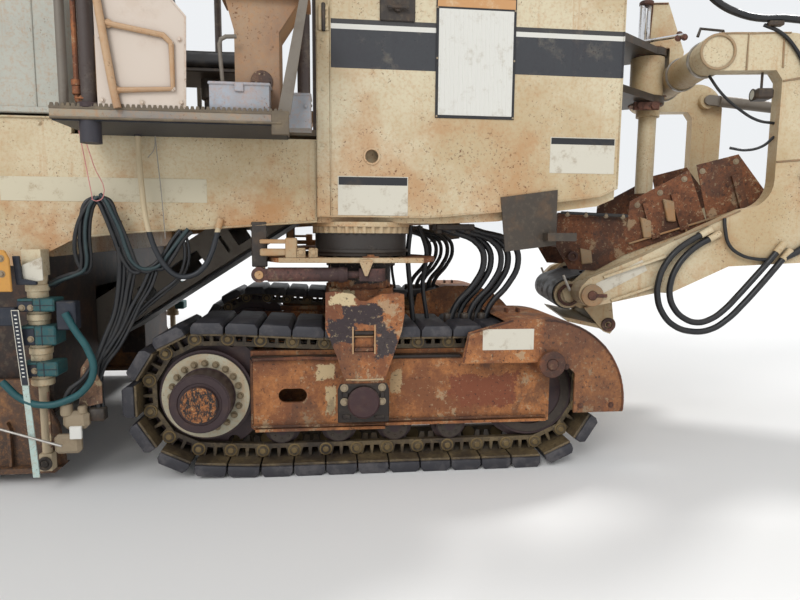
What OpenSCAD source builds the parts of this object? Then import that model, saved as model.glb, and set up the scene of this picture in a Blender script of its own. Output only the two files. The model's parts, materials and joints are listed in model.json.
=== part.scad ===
// Cold planer milling machine: four crawler tracks, a cutting drum amidships,
// a two-stage loading conveyor and an engine at the rear.
// +X is the front, where the loading boom is, +Y the left-hand side, +Z up.
// Stations along X are counted from the steering axis of the front tracks.

/* [Overall] */
// Distance between the front and rear track pivots
wheelbase = 5050; // [4900:10:5200]
// Sideways distance from the centre line to the middle of a track
track_y = 995; // [985:1:1010]
// Station of the rear bumper's back face, behind the front pivots
rear_reach = 6600; // [6560:10:6700]
// Half the width of the chassis over its side plates
side_y = 1220; // [1212:1:1230]
// Half the width over the operator's side walkways
walk_y = 1650; // [1600:10:1700]

/* [Crawler tracks] */
// Pitch of the track chain
link_pitch = 175.5; // [170:0.5:178]
// Number of links in a chain
link_n = 32; // [32:2:34]
// Radius of the pin line on the drive and idler wheels
pin_r = 306; // [300:1:312]
// Height of the pads over the pin line
pad_h = 108; // [100:1:112]
// Length of a pad along the chain
pad_len = 164; // [150:1:168]
// Width of a pad
pad_w = 500; // [480:2:510]
// Station of the drive wheel behind the leg's axis
drive_back = 852; // [850:1:862]

/* [Legs and steering] */
// Radius of a leg's inner column
column_r = 170; // [160:1:174]
// Height of the steering plate's top face
steer_plate_z = 1200; // [1180:1:1202]
// Thickness of the yoke's cheeks
cheek_t = 40; // [30:1:44]

/* [Cutter] */
// Station of the drum's axis ahead of the middle between the pivots
drum_ahead = 75; // [25:5:85]
// Height of the drum's axis as parked
drum_z = 700; // [690:1:720]
// Radius over the tool tips
tip_r = 560; // [550:1:570]
// Radius of the drum's shell
shell_r = 430; // [410:1:440]
// Length of the drum's shell
drum_len = 2180; // [2140:10:2190]
// Number of tool holders in one turn of the helix
turn_n = 9; // [7:1:10]

/* [Conveyors] */
// Width of both conveyor belts
belt_w = 760; // [700:10:780]
// Rise of the primary conveyor, in degrees
primary_rise = 33; // [32:0.5:33]
// Rise of the loading boom as parked, in degrees
boom_rise = 18; // [16:0.5:19]
// Length of the loading boom between its pulleys
boom_len = 7000; // [6600:50:7100]
// Swing of the boom towards the right-hand side as parked, in degrees
boom_swing = 10; // [6:1:12]
// Station of the king post, ahead of the front pivots
king_x = 2200; // [2180:5:2250]

/* [Body] */
// Height of the operator's deck
deck_z = 1868; // [1860:1:1880]
// Top of the saddle tanks beside the conveyor
tank_top = 2900; // [2850:10:2950]
// Top of the engine hood
hood_top = 3000; // [2950:10:3050]
// Height of the canopy's roof
roof_z = 4050; // [3950:10:4100]

/* [Hidden] */
$fn = 48;
gap = 0.3;
sheet = 20;

// Crawler track
axle_z = pin_r + pad_h;
drive_z = axle_z + 26;
drive_r = pin_r + 9;
knee = [-556, axle_z - pin_r];
crest = [-230, axle_z + pin_r];
rail_h = 40;
rail_in = 85;
rail_out = 125;
tread_r = (pin_r - rail_h) * cos(90 * link_pitch / (PI * pin_r)) - gap;
roller_r = 80;
roller_z = axle_z - pin_r + rail_h + roller_r + gap;
roller_xs = [-450, -130, 190, 510];
frame_y = 155;
frame_t = 20;
frame_back = -614;
frame_front = 1090;
frame_bottom = 225;
frame_top = 635;
pivot_z = 424;
cheek_in = pad_w / 2 + 12;
cheek_out = cheek_in + cheek_t;
fender_r = 476;
fender_x = 1000;
fender_y = 300;
fender_reach = fender_x + fender_r + 30;
frame_step = 130;

// Legs and steering
yoke_top = 1016;
sleeve_bore = column_r + 1;
sleeve_r = column_r + 45;
drum_sleeve_r = 275;
drum_sleeve_z = steer_plate_z + 8;
column_top = 1900;
steer_arm = 262;
steer_arm_x = 40;
steer_cyl_z = 1112;
steer_cyl_r = 38;
steer_back = 541;
steer_rod_r = 20;
steer_pin_r = 22;
steer_disc_r = 480;
steer_disc_x = -60;
steer_disc_half = 294;
slew_r = 258;
slew_teeth = 36;

// Chassis
rear_x = -rear_reach;
hood_x = -1450;
hood_rear = rear_x + 100;
hood_y = 1230;
hood_z = 1906;
beam_z = 1385;
tank_x0 = -240;
tank_x1 = 1400;
tank_z = 1413;
tank_y0 = 560;
tank_y1 = 1250;
plate_t = 40;
wing_x0 = -1366;
wing_x1 = -380;
fascia = 55;
box_top = deck_z + 115;

// Cutter and its housing
drum_x = -wheelbase / 2 + drum_ahead;
house_x0 = -wheelbase + fender_reach + 214;
house_x1 = drum_x + 800;
house_y = 1120;
house_top = 1345;
gate_y = 1165;
gate_t = 25;
lift_xs = [house_x1 + 16, house_x0 + 90];
lift_y = 1262;
blade_rod_x = house_x0 - 86;
blade_rod_y = 600;

// Primary conveyor
tail_x = house_x1 - 40;
tail_z = 712;
primary_len = 2800;
primary_half = 430;
pulley_r = 130;

// Loading boom, in its own frame at the king post
boom_pin_x = 1680 - king_x;
boom_pin_z = 925;
boom_half = 430;
boom_r = 110;
boom_tail = -95;
boom_nose = 170;
head_x = boom_pin_x + boom_len * cos(boom_rise) + boom_nose;
front_x = king_x + head_x * cos(boom_swing) + boom_half * sin(boom_swing);
origin_x = (front_x + rear_x) / 2;
king_zs = [2300, 2350];

// Helpers for blocks, plates and bars

module block(x, y, z) {
    translate([x[0], y[0], z[0]])
        cube([x[1] - x[0], y[1] - y[0], z[1] - z[0]]);
}

// A profile drawn in X and Z, thick along Y
module plate_xz(points, y) {
    translate([0, y[1], 0])
        rotate([90, 0, 0])
            linear_extrude(y[1] - y[0])
                polygon(points);
}

module cyl_y(x, z, r, y) {
    translate([x, y[1], z])
        rotate([90, 0, 0])
            cylinder(r = r, h = y[1] - y[0]);
}

module cyl_z(x, y, r, z) {
    translate([x, y, z[0]])
        cylinder(r = r, h = z[1] - z[0]);
}

module bar(a, b, r) {
    v = b - a;
    translate(a)
        rotate([0, acos(v.z / norm(v)), atan2(v.y, v.x)])
            cylinder(r = r, h = norm(v));
}

// Round bars end to end, with a ball at each bend
module rail(points, r) {
    for (i = [1:len(points) - 1])
        bar(points[i - 1], points[i], r);
    for (i = [1:len(points) - 2])
        translate(points[i])
            sphere(r = r + 0.6);
}

// Points of an arc, from one angle to another
function arc(c, r, a0, a1, n = 8) =
    [for (i = [0:n]) let(a = a0 + (a1 - a0) * i / n) [c[0] + r * cos(a), c[1] + r * sin(a)]];

// Rings of a round tube along a route; the first ring's side lies level
function aim(p, i) =
    let(d = p[min(i + 1, len(p) - 1)] - p[max(i - 1, 0)]) d / norm(d);

module hose(p, r, sides = 8) {
    n = len(p);
    polyhedron(
        points = [for (i = [0:n - 1])
            let(t = aim(p, i), u0 = cross(t, [0, 1, 0.001]), u = u0 / norm(u0), v = cross(t, u))
            for (k = [0:sides - 1])
                p[i] + r * (u * cos(k * 360 / sides) + v * sin(k * 360 / sides))],
        faces = concat(
            [[for (k = [0:sides - 1]) k]],
            [[for (k = [0:sides - 1]) n * sides - 1 - k]],
            [for (i = [0:n - 2]) for (k = [0:sides - 1])
                [i * sides + k, (i + 1) * sides + k,
                    (i + 1) * sides + (k + 1) % sides, i * sides + (k + 1) % sides]]
        )
    );
}

module both_sides() {
    children();
    mirror([0, 1, 0])
        children();
}

// The machine's own frame stands at the middle of its footprint
module placed() {
    translate([-origin_x, 0, 0])
        children();
}

// Corners: front right, front left, rear right, rear left
CORNERS = [[0, -1], [0, 1], [-wheelbase, -1], [-wheelbase, 1]];

// Draws a right-hand piece at one corner, mirrored on the left
module at_corner(i) {
    translate([CORNERS[i][0] - origin_x, CORNERS[i][1] * track_y, 0])
        if (CORNERS[i][1] > 0)
            mirror([0, 1, 0])
                children();
        else
            children();
}

// Crawler chain: it leaves the drive wheel a little above the level runs under the rollers and
// over the slide bar, which it joins at the knee and at the crest

function drive_d(p) = norm([p[0] + drive_back, p[1] - drive_z]);
function run_to(p) = sqrt(pow(drive_d(p), 2) - pow(drive_r, 2));
knee_a = atan2(drive_z - knee[1], knee[0] + drive_back) - asin(drive_r / drive_d(knee));
crest_a = asin(drive_r / drive_d(crest)) - atan2(crest[1] - drive_z, crest[0] + drive_back);
s_wrap = run_to(knee);
s_top = s_wrap + drive_r * (180 + crest_a - knee_a) * PI / 180;
s_crest = s_top + run_to(crest);
idler_x = (link_n * link_pitch - s_crest - PI * pin_r + crest[0] + knee[0]) / 2;
s_idler = s_crest + idler_x - crest[0];
s_under = s_idler + PI * pin_r;

function loop_pin(s) =
    s < s_wrap ? [knee[0] - s * cos(knee_a), knee[1] + s * sin(knee_a), -180 - knee_a]
    : s < s_top ? let(a = -180 - knee_a - (s - s_wrap) / drive_r * 180 / PI)
        [-drive_back - drive_r * sin(a), drive_z + drive_r * cos(a), a]
    : s < s_crest
        ? [crest[0] - (s_crest - s) * cos(crest_a), crest[1] + (s_crest - s) * sin(crest_a),
            -crest_a]
    : s < s_idler ? [crest[0] + s - s_crest, crest[1], 0]
    : s < s_under ? let(a = (s - s_idler) / pin_r * 180 / PI)
        [idler_x + pin_r * sin(a), axle_z + pin_r * cos(a), -a]
    : [idler_x - (s - s_under), knee[1], -180];

pins = [for (i = [0:link_n - 1]) loop_pin(i * link_pitch)];

function beside(p, d) = [p[0] - d * sin(p[2]), p[1] + d * cos(p[2])];

module rail_band() {
    difference() {
        polygon([for (p = pins) beside(p, rail_h)]);
        polygon([for (p = pins) beside(p, -rail_h)]);
    }
}

module shoe_profile() {
    seat = rail_h - 2;
    half = pad_len / 2;
    polygon([
        [-half, seat], [half, seat], [half, seat + 24],
        [half - 14, pad_h], [-half + 14, pad_h], [-half, seat + 24]
    ]);
}

module track() {
    color("dimgray") {
        for (y = [-rail_out, rail_in])
            translate([0, y + rail_out - rail_in, 0])
                rotate([90, 0, 0])
                    linear_extrude(rail_out - rail_in)
                        rail_band();
        for (i = [0:link_n - 1]) {
            a = pins[i];
            b = pins[(i + 1) % link_n];
            translate([(a[0] + b[0]) / 2, pad_w / 2, (a[1] + b[1]) / 2])
                rotate([90, 0, 0])
                    linear_extrude(pad_w)
                        rotate(atan2(b[1] - a[1], b[0] - a[0]))
                            shoe_profile();
        }
    }
}

module roller(x) {
    cyl_y(x, roller_z, roller_r, [-rail_out, rail_out]);
    cyl_y(x, roller_z, roller_r + 24, [-rail_in + 12, rail_in - 12]);
    cyl_y(x, roller_z, 32, [-frame_y + frame_t + gap, frame_y - frame_t - gap]);
}

module idler() {
    cyl_y(idler_x, axle_z, tread_r, [-rail_out, rail_out]);
    cyl_y(idler_x, axle_z, tread_r + 34, [-rail_in + 12, rail_in - 12]);
    cyl_y(idler_x, axle_z, 90, [-frame_y + frame_t + gap, frame_y - frame_t - gap]);
}

// Sprocket, the pale ring round its planetary hub, and the hub towards the outside
module drive() {
    tooth_n = 11;
    translate([-drive_back, 0, drive_z])
        rotate([90, 0, 0]) {
            translate([0, 0, -rail_in + 12])
                linear_extrude(2 * (rail_in - 12))
                    difference() {
                        circle(r = drive_r + 13);
                        for (i = [0:tooth_n - 1])
                            rotate(i * 360 / tooth_n)
                                translate([drive_r + 1, 0])
                                    circle(r = 34, $fn = 16);
                    }
            translate([0, 0, -frame_y + frame_t + gap])
                cylinder(r = 225, h = frame_y - frame_t + rail_out);
            translate([0, 0, rail_out - 5])
                cylinder(r = 250, h = frame_y - frame_t - gap - rail_out + 5);
            translate([0, 0, rail_out])
                cylinder(r = 234, h = 32);
            cylinder(r = 155, h = 322);
            translate([0, 0, 320])
                cylinder(r = 96, h = 22);
        }
}

module wheels() {
    color("saddlebrown") {
        for (x = roller_xs)
            roller(x);
        idler();
        drive();
    }
}

// One wall of the track frame, with its long slot
module frame_wall() {
    slot_x = -385;
    slot_half = 38;
    difference() {
        plate_xz([
            [frame_back, frame_bottom + 30], [frame_back + 24, frame_bottom + 6],
            [frame_step, frame_bottom + 6], [frame_step, frame_bottom + 25],
            [frame_front, frame_bottom + 25], [frame_front, frame_top - 90],
            [frame_front - 90, frame_top], [frame_back, frame_top]
        ], [-frame_y, -frame_y + frame_t]);
        for (dx = [-slot_half, slot_half])
            cyl_y(slot_x + dx, axle_z + 16, 40, [-frame_y - 5, -frame_y + frame_t + 5]);
        block([slot_x - slot_half, slot_x + slot_half],
            [-frame_y - 5, -frame_y + frame_t + 5],
            [axle_z - 24, axle_z + 56]);
    }
}

module fender_side() {
    intersection() {
        plate_xz([
            [535, 627], [571, 797], [819, axle_z + 455], [fender_x, axle_z + 455],
            [fender_x + 500, axle_z + 455], [fender_x + 500, 335], [1182, 335],
            [1182, 560], [1110, 627]
        ], [-fender_y, -fender_y + 14]);
        union() {
            cyl_y(fender_x, axle_z - 21, fender_r, [-fender_y - 5, -fender_y + 20]);
            block([500, fender_x], [-fender_y - 5, -fender_y + 20], [300, 1000]);
        }
    }
}

// Guard over the idler: two side plates and a rolled top sheet
module fender() {
    top = axle_z + 455;
    both_sides()
        fender_side();
    difference() {
        intersection() {
            cyl_y(fender_x, axle_z - 21, fender_r, [-fender_y, fender_y]);
            block([fender_x, fender_x + 500], [-fender_y, fender_y], [335, top + 1]);
        }
        cyl_y(fender_x, axle_z - 21, fender_r - 14, [-fender_y - 5, fender_y + 5]);
    }
    plate_xz([
        [fender_x, top], [819, top], [780, top - 14], [fender_x, top - 14]
    ], [-fender_y, fender_y]);
}

// The frame's top plate starts where it clears the drive wheel's teeth
top_back = sqrt(pow(drive_r + 18, 2) - pow(frame_top - frame_t - drive_z, 2)) - drive_back;

module track_frame() {
    color("peru") {
        both_sides() {
            frame_wall();
            block([frame_back + 24, frame_step], [-frame_y - 20, -frame_y],
                [frame_bottom + 6, frame_bottom + 22]);
            block([frame_step, frame_front - 20], [-frame_y - 20, -frame_y],
                [frame_bottom + 25, frame_bottom + 41]);
            // Pin that carries the fender's side plate
            cyl_y(1040, 618, 75, [-fender_y - 22, -frame_y]);
            // Pivot boss, seated on the yoke's cheek
            cyl_y(0, pivot_z, 118, [-cheek_in + gap, -frame_y]);
        }
        block([top_back, frame_front - 352], [-frame_y, frame_y],
            [frame_top - frame_t, frame_top]);
        // Slide bar under the upper run of the chain
        both_sides()
            block([frame_back, idler_x - 270], [-rail_out, -rail_in],
                [frame_top, axle_z + pin_r - rail_h - gap]);
        // Motor carrier on the inner side
        plate_xz([
            [frame_back, frame_bottom + 40], [frame_back, frame_top],
            [-drive_back, frame_top], [-drive_back - 200, drive_z + 80],
            [-drive_back - 200, drive_z - 80], [-drive_back, frame_bottom + 40]
        ], [frame_y - frame_t, frame_y]);
        cyl_y(-drive_back, drive_z, 150, [frame_y, frame_y + 80]);
        fender();
    }
}

// Cheek of the yoke, outside the pads, with its blind pocket
module cheek() {
    difference() {
        plate_xz([
            [-200, yoke_top + 4], [-150, yoke_top + 10], [-60, yoke_top - 4], [-20, yoke_top - 40],
            [20, yoke_top - 42], [90, yoke_top - 6], [180, yoke_top], [216, yoke_top - 8],
            [219, 900], [205, 812], [144, 629], [114, 545], [114, 520], [131, 505], [131, 320],
            [-125, 320], [-125, 505], [-102, 520], [-102, 550], [-143, 684], [-201, 827]
        ], [-cheek_out, -cheek_in]);
        block([-50, 56], [-cheek_out - 5, -cheek_out + 26], [699, 816]);
    }
}

module leg() {
    color("sienna") {
        both_sides() {
            cheek();
            cyl_y(0, pivot_z, 83, [-cheek_out - 24, -cheek_out]);
        }
        // Bridge over the track
        block([-150, 185], [-cheek_out, cheek_out], [axle_z + pin_r + pad_h + 22, yoke_top - 48]);
        cyl_z(0, 0, column_r + 14, [yoke_top - 50, yoke_top + 8]);
        cyl_z(0, 0, column_r, [yoke_top - 49, column_top]);
    }
    color("wheat") {
        // Steering plate: a round sheet with flats towards the tank's side and the tunnel
        difference() {
            intersection() {
                cyl_z(steer_disc_x, 0, steer_disc_r, [steer_plate_z - 24, steer_plate_z]);
                block([-1000, 1000], [-steer_disc_half, steer_disc_half],
                    [steer_plate_z - 30, steer_plate_z + 10]);
            }
            cyl_z(0, 0, column_r - 1, [steer_plate_z - 40, steer_plate_z + 10]);
        }
        cyl_z(0, 0, column_r + 26, [steer_plate_z - 52, steer_plate_z - 24]);
        cyl_z(steer_arm_x, -steer_arm, steer_pin_r, [steer_cyl_z - 46, steer_plate_z - 24]);
    }
}

// Steering: the barrel hangs from the chassis, the rod's eye rides on the arm's pin

module steer_barrels() {
    foot = steer_back - 44;
    mouth = 84;
    color("firebrick")
        for (x = [0, -wheelbase])
            both_sides()
                translate([x, -track_y - steer_arm, steer_cyl_z])
                    difference() {
                        union() {
                            translate([-foot, 0, 0])
                                rotate([0, 90, 0])
                                    cylinder(r = steer_cyl_r, h = foot - mouth);
                            // Head ring at the mouth, and the foot's eye on the hanger's pin
                            translate([-mouth - 46, 0, 0])
                                rotate([0, 90, 0])
                                    cylinder(r = steer_cyl_r + 5, h = 30);
                            block([-steer_back, -foot + 8], [-22, 22], [-30, 30]);
                            cyl_y(-steer_back, 0, 40, [-22, 22]);
                        }
                        translate([-foot + 60, 0, 0])
                            rotate([0, 90, 0])
                                cylinder(r = steer_rod_r + 1, h = foot);
                        cyl_y(-steer_back, 0, steer_pin_r + gap, [-30, 30]);
                    }
}

module steer_rod() {
    color("silver")
        translate([0, -steer_arm, steer_cyl_z]) {
            translate([-330, 0, 0])
                rotate([0, 90, 0])
                    cylinder(r = steer_rod_r, h = 330 + steer_arm_x - 60);
            difference() {
                union() {
                    block([steer_arm_x - 62, steer_arm_x + 20], [-44, 44], [-32, 34]);
                    cyl_z(steer_arm_x + 20, 0, 58, [-32, 34]);
                }
                cyl_z(steer_arm_x, 0, 39, [-35, 37]);
            }
        }
}

// Tab below the chassis side, with the pin of a steering barrel's foot
module hanger() {
    tab_y = track_y - side_y;
    plate_xz([
        [-steer_back - 34, beam_z + 60], [-steer_back - 22, steer_cyl_z - 26],
        [-steer_back + 22, steer_cyl_z - 26], [-steer_back + 28, beam_z + 60]
    ], [tab_y, tab_y + plate_t]);
    cyl_y(-steer_back, steer_cyl_z, steer_pin_r, [-steer_arm - 30, tab_y + 1]);
}

// Chassis

module side_wall() {
    plate_xz([
        [tank_x0 - gap, deck_z - fascia - gap], [tank_x0 - gap, beam_z], [-692, 1352],
        [-1241, 1317], [-1465, 1290], [house_x1 - 75, 1155], [house_x0 - 60, 1155],
        [house_x0 - 400, 1330], [-wheelbase - 350, beam_z], [rear_x + 300, beam_z + 20],
        [rear_x + 60, 1560], [rear_x + 60, hood_z - 12],
        [hood_x, hood_z - 12], [hood_x, deck_z - fascia - gap]
    ], [-side_y, -side_y + plate_t]);
}

// Sleeve that guides a leg's column, with the flange that the slewing ring hangs from
module sleeve() {
    cyl_z(0, 0, drum_sleeve_r, [beam_z - 20, beam_z + 5]);
    cyl_z(0, 0, sleeve_r, [beam_z, column_top + 100]);
    cyl_z(0, 0, sleeve_r - 30, [column_top + 40, column_top + 100]);
}

module main_frame() {
    inner = side_y - plate_t;
    color("wheat")
        difference() {
            union() {
                both_sides() {
                    side_wall();
                    // Front floor beam under a tank
                    plate_xz([
                        [tank_x0, beam_z], [430, beam_z], [739, 1400], [1017, 1452], [1301, 1488],
                        [1400, 1530], [1400, 1583], [1301, 1537 - gap], [1017, 1501 - gap],
                        [739, 1449 - gap], [360, tank_z - gap], [tank_x0, tank_z - gap]
                    ], [-side_y + 10, -tank_y0 + 60]);
                    // Inner wall beside the conveyor tunnel
                    plate_xz([
                        [-700, beam_z + 30], [tank_x0, beam_z], [430, beam_z], [1400, 1530],
                        [1400, 2400], [700, 2400], [tank_x0, deck_z - fascia - 30],
                        [-700, deck_z - fascia - 30]
                    ], [-tank_y0 + gap, -tank_y0 + 40]);
                    for (x = [0, -wheelbase])
                        translate([x, -track_y, 0]) {
                            sleeve();
                            hanger();
                        }
                    // Towing and tie-down eyes
                    difference() {
                        plate_xz([
                            [rear_x, 1450], [rear_x + 80, 1420], [rear_x + 160, 1450],
                            [rear_x + 160, 1620], [rear_x, 1620]
                        ], [-780, -740]);
                        cyl_y(rear_x + 70, 1500, 32, [-785, -735]);
                    }
                }
                // Cross members
                block([-700, -640], [-inner, inner], [1735, deck_z - fascia - 1]);
                block([-1440, -1340], [-inner, inner], [1500, deck_z - fascia - 1]);
                block([house_x1 + gap, house_x1 + 64], [-inner, inner], [1200, 1780]);
                block([house_x0 - 60, house_x0 - gap], [-inner, inner], [1155, 1700]);
                block([-wheelbase - 400, -wheelbase + 400], [-inner, inner], [beam_z, tank_z]);
                block([rear_x + 60, rear_x + 160], [-inner, inner], [1560, hood_z - 12]);
                // Hood deck around the engine bay
                block([rear_x, rear_x + 60], [-hood_y, hood_y], [1560, hood_z - 12]);
                block([house_x0 - 60, hood_x], [-inner, inner], [hood_z - 52, hood_z - 12]);
                // Gland of the side hose on the chassis wall
                bar(side_route[len(side_route) - 1],
                    side_route[len(side_route) - 1] + aim(side_route, len(side_route) - 1) * 50,
                    side_hose_r + 3);
                // Rear overhang down to the tie-down eyes
                both_sides()
                    block([rear_x, rear_x + 60], [-780, -740], [1540, 1570]);
            }
            both_sides()
                for (x = [0, -wheelbase])
                    cyl_z(x, -track_y, sleeve_bore, [1100, column_top + 120]);
        }
}

// Slewing ring round each column: a toothed ring over a plain drum
module slew_drums() {
    tooth = 360 / slew_teeth;
    ring_z = beam_z - 58;
    color("black")
        for (x = [0, -wheelbase])
            both_sides()
                translate([x, -track_y, 0])
                    difference() {
                        union() {
                            cyl_z(0, 0, slew_r, [drum_sleeve_z, ring_z + 1]);
                            cyl_z(0, 0, slew_r + 12, [drum_sleeve_z + 20, drum_sleeve_z + 34]);
                            translate([0, 0, ring_z])
                                linear_extrude(beam_z - 20 - gap - ring_z)
                                    polygon([for (i = [0:slew_teeth - 1]) for (q = [0:3])
                                        let(a = (i + q / 4) * tooth, r = slew_r + (q < 2 ? 14 : 2))
                                            [r * cos(a), r * sin(a)]]);
                        }
                        cyl_z(0, 0, sleeve_bore, [drum_sleeve_z - 5, beam_z]);
                    }
}

// Saddle tanks on either side of the conveyor tunnel
module tanks() {
    lip = 130;
    color("linen")
        both_sides()
            difference() {
                union() {
                    plate_xz([
                        [tank_x0, tank_z], [360, tank_z], [739, 1449], [1017, 1501],
                        [1301, 1537], [1400, 1583], [1400, tank_top - lip],
                        [1400 - lip, tank_top], [tank_x0, tank_top]
                    ], [-tank_y1, -tank_y0]);
                }
                cyl_z(0, -track_y, sleeve_r + gap, [tank_z - 10, column_top + 100 + gap]);
                // Recessed outer panel edge
                block([tank_x0 - 5, tank_x0 + 60], [-tank_y1 - 5, -tank_y1 + 12],
                    [2350, tank_top + 5]);
                cyl_y(45, 1730, 35, [-tank_y1 - 5, -tank_y1 + 60]);
            }
}

// Hood profile across the machine, with rolled shoulders
module hood_section(inset) {
    r = 160;
    y = hood_y - inset;
    z = hood_top - inset;
    translate([-y, hood_z])
        square([2 * y, z - r - hood_z + inset]);
    translate([-y + r - inset, hood_z])
        square([2 * (y - r + inset), z - hood_z]);
    for (s = [-1, 1])
        translate([s * (y - r + inset), z - r + inset])
            circle(r = r - inset);
}

door_x = [-5700, -4000];
door_z = [2050, 2780];

module engine_hood() {
    color("lightgray")
        both_sides()
            hood_hinges();
    color("lightgray")
        difference() {
            translate([hood_x, 0, 0])
                rotate([90, 0, -90])
                    linear_extrude(hood_x - hood_rear)
                        hood_section(0);
            translate([hood_x - sheet, 0, -1])
                rotate([90, 0, -90])
                    linear_extrude(hood_x - hood_rear - 2 * sheet)
                        hood_section(sheet);
            // Door openings and the radiator's opening
            both_sides()
                block(door_x, [-hood_y - 5, -hood_y + sheet + 5], door_z);
            block([hood_rear - 5, hood_rear + sheet + 5], [-900, 900], [2000, 2820]);
            // Holes for the exhaust stacks
            for (x = [-4350, -4350 - 500])
                cyl_z(x, 0, 95, [hood_top - sheet - 5, hood_top + 5]);
        }
}

// Hinge knuckles with their leaves; the hood holds the outer pair of each
hinge_r = 9;
hinge_y = hood_y + hinge_r + gap;
hinge_zs = [door_z[0] + 100, door_z[1] - 220];

module hinge_part(z, leaf_x) {
    cyl_z(door_x[0], -hinge_y, hinge_r, z);
    block(leaf_x, [-hinge_y, -hood_y], z);
}

module hood_hinges() {
    for (z = hinge_zs)
        for (dz = [0, 80 + gap])
            hinge_part([z + dz, z + dz + 40 - gap], [door_x[0] - 60, door_x[0]]);
}

module hood_door() {
    color("gainsboro") {
        difference() {
            block([door_x[0] + 6, door_x[1] - 6], [-hood_y, -hood_y + sheet],
                [door_z[0] + 6, door_z[1] - 6]);
            for (i = [0:9])
                block([door_x[0] + 160, door_x[0] + 900],
                    [-hood_y - 5, -hood_y + 8],
                    [door_z[0] + 130 + i * 48, door_z[0] + 152 + i * 48]);
        }
        block([door_x[1] - 160, door_x[1] - 120], [-hood_y - 45, -hood_y], [2380, 2460]);
        for (z = hinge_zs)
            hinge_part([z + 40, z + 80], [door_x[0], door_x[0] + 60]);
    }
}

module engine_block() {
    color("darkslategray") {
        block([-5950, -4300], [-420, 420], [tank_z + 40, 2450]);
        block([-6250, -5950], [-500, 500], [tank_z + 120, 2650]);
    }
    color("black")
        both_sides()
            block([-5900, -4400], [-520, -420.3], [tank_z + gap, tank_z + 140]);
}

module radiator_grille() {
    color("dimgray") {
        difference() {
            block([hood_rear - 30, hood_rear - gap], [-940, 940], [1960, 2860]);
            block([hood_rear - 35, hood_rear + 5], [-880, 880], [2020, 2800]);
        }
        for (i = [0:12])
            block([hood_rear - 26, hood_rear - 8], [-890, 890], [2050 + i * 60, 2066 + i * 60]);
    }
}

module exhaust_stacks() {
    color("saddlebrown")
        for (x = [-4350, -4850]) {
            cyl_z(x, 0, 80, [hood_top - 120, hood_top + 420]);
            cyl_z(x, 0, 130, [hood_top + gap, hood_top + 30]);
            translate([x, 0, hood_top + 420])
                rotate([0, -40, 0])
                    cylinder(r = 80, h = 190);
            translate([x, 0, hood_top + 420])
                sphere(r = 80);
        }
}

// Operator's deck with a walkway wing on either side
module deck() {
    color("beige") {
        difference() {
            union() {
                block([hood_x + gap, tank_x0 - gap], [-side_y + plate_t, side_y - plate_t],
                    [deck_z - 30, deck_z]);
                both_sides() {
                    block([wing_x0, wing_x1], [-walk_y, -side_y + plate_t],
                        [deck_z - fascia, deck_z]);
                    // Sockets for the canopy posts
                    cyl_z(post_xs[0], -walk_y + 45, 45, [deck_z - 150, deck_z]);
                }
            }
            both_sides() {
                block([wing_x0 + sheet, wing_x1 - sheet], [-walk_y + sheet, -side_y - 1],
                    [deck_z - fascia - 5, deck_z - 12]);
            }
        }
        both_sides()
            cyl_z(post_xs[0], -walk_y + 45, 44, [deck_z - 150, deck_z]);
        // Gland of the hose under the right-hand walkway
        cyl_z(side_route[0].x, side_route[0].y, side_hose_r + 3, [side_route[0].z, deck_z - 11]);
    }
}

post_xs = [-1215, -300];
post_r = 32;

module canopy() {
    color("black")
        both_sides() {
            cyl_z(post_xs[0], -walk_y + 45, post_r, [deck_z + gap, roof_z]);
            cyl_z(post_xs[1], -tank_y1 - 45, post_r, [deck_z + 20, roof_z]);
            block([post_xs[1] - 32, post_xs[1] + 32], [-tank_y1 - 77, -tank_y1 + 170],
                [deck_z + gap, deck_z + 24]);
        }
    color("ivory")
        plate_xz([
            [-1750, roof_z], [-1700, roof_z + 70], [150, roof_z + 70], [200, roof_z]
        ], [-1560, 1560]);
}

// Guard rails round the walkways
module handrails() {
    y = walk_y - 60;
    top = deck_z + 1000;
    color("silver")
        both_sides() {
            rail([[wing_x0 + 40, -y, deck_z + gap], [wing_x0 + 40, -y, top],
                [wing_x0 + 40, -side_y, top], [wing_x0 + 40, -side_y, deck_z + gap]], 20);
            // Leaning grab tube behind the splash panel
            bar([-1098, -walk_y + 105, deck_z + 3.1], [-1185, -walk_y + 105, deck_z + 760], 24);
            // Grip tube from the side box to the desk
            rail([[-646, -walk_y + 55, box_top + gap], [-658, -walk_y + 55, 2160],
                [-650, -walk_y + 55, 2184], [-628, -walk_y + 55, 2196],
                [-584, -walk_y + 66, 2202]], 9);
            // Flat brace from the walkway's edge to the desk
            plate_xz([
                [-408, deck_z + gap], [-350, deck_z + gap], [-262, 2389 + gap],
                [-300, 2389 + gap]
            ], [-walk_y + 56, -walk_y + 68]);
        }
}

// Bent tube on the splash panel, a grip for whoever climbs up
splash_tube = [for (p = [[-1115, 2212], [-880, 2172], [-848, 2140], [-847, 1950], [-1090, 1937]])
    [p[0], -walk_y - 8, p[1]]];

module console() {
    color("bisque")
        both_sides() {
            difference() {
                block([-600, -400], [-1540, -1345], [deck_z + gap, 2240]);
                cyl_y(-480, 2020, 42, [-1545, -1480]);
            }
            plate_xz([[-600, 2240], [-400, 2240], [-300, 2390], [-640, 2390]], [-1540, -1345]);
            block([-660, -260], [-1580, -1345], [2390, 2430]);
            // Splash panel at the walkway's edge, with its hoop handle
            plate_xz([
                [-1165, deck_z + gap], [-800, deck_z + gap], [-788, 2256], [-900, 2388],
                [-935, 2410], [-1165, 2410]
            ], [-walk_y + 2, -walk_y + 10]);
            for (i = [0:3])
                bar(splash_tube[i], splash_tube[i + 1], 11);
            for (i = [1:3])
                translate(splash_tube[i])
                    sphere(r = 11.6);
        }
}

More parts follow.
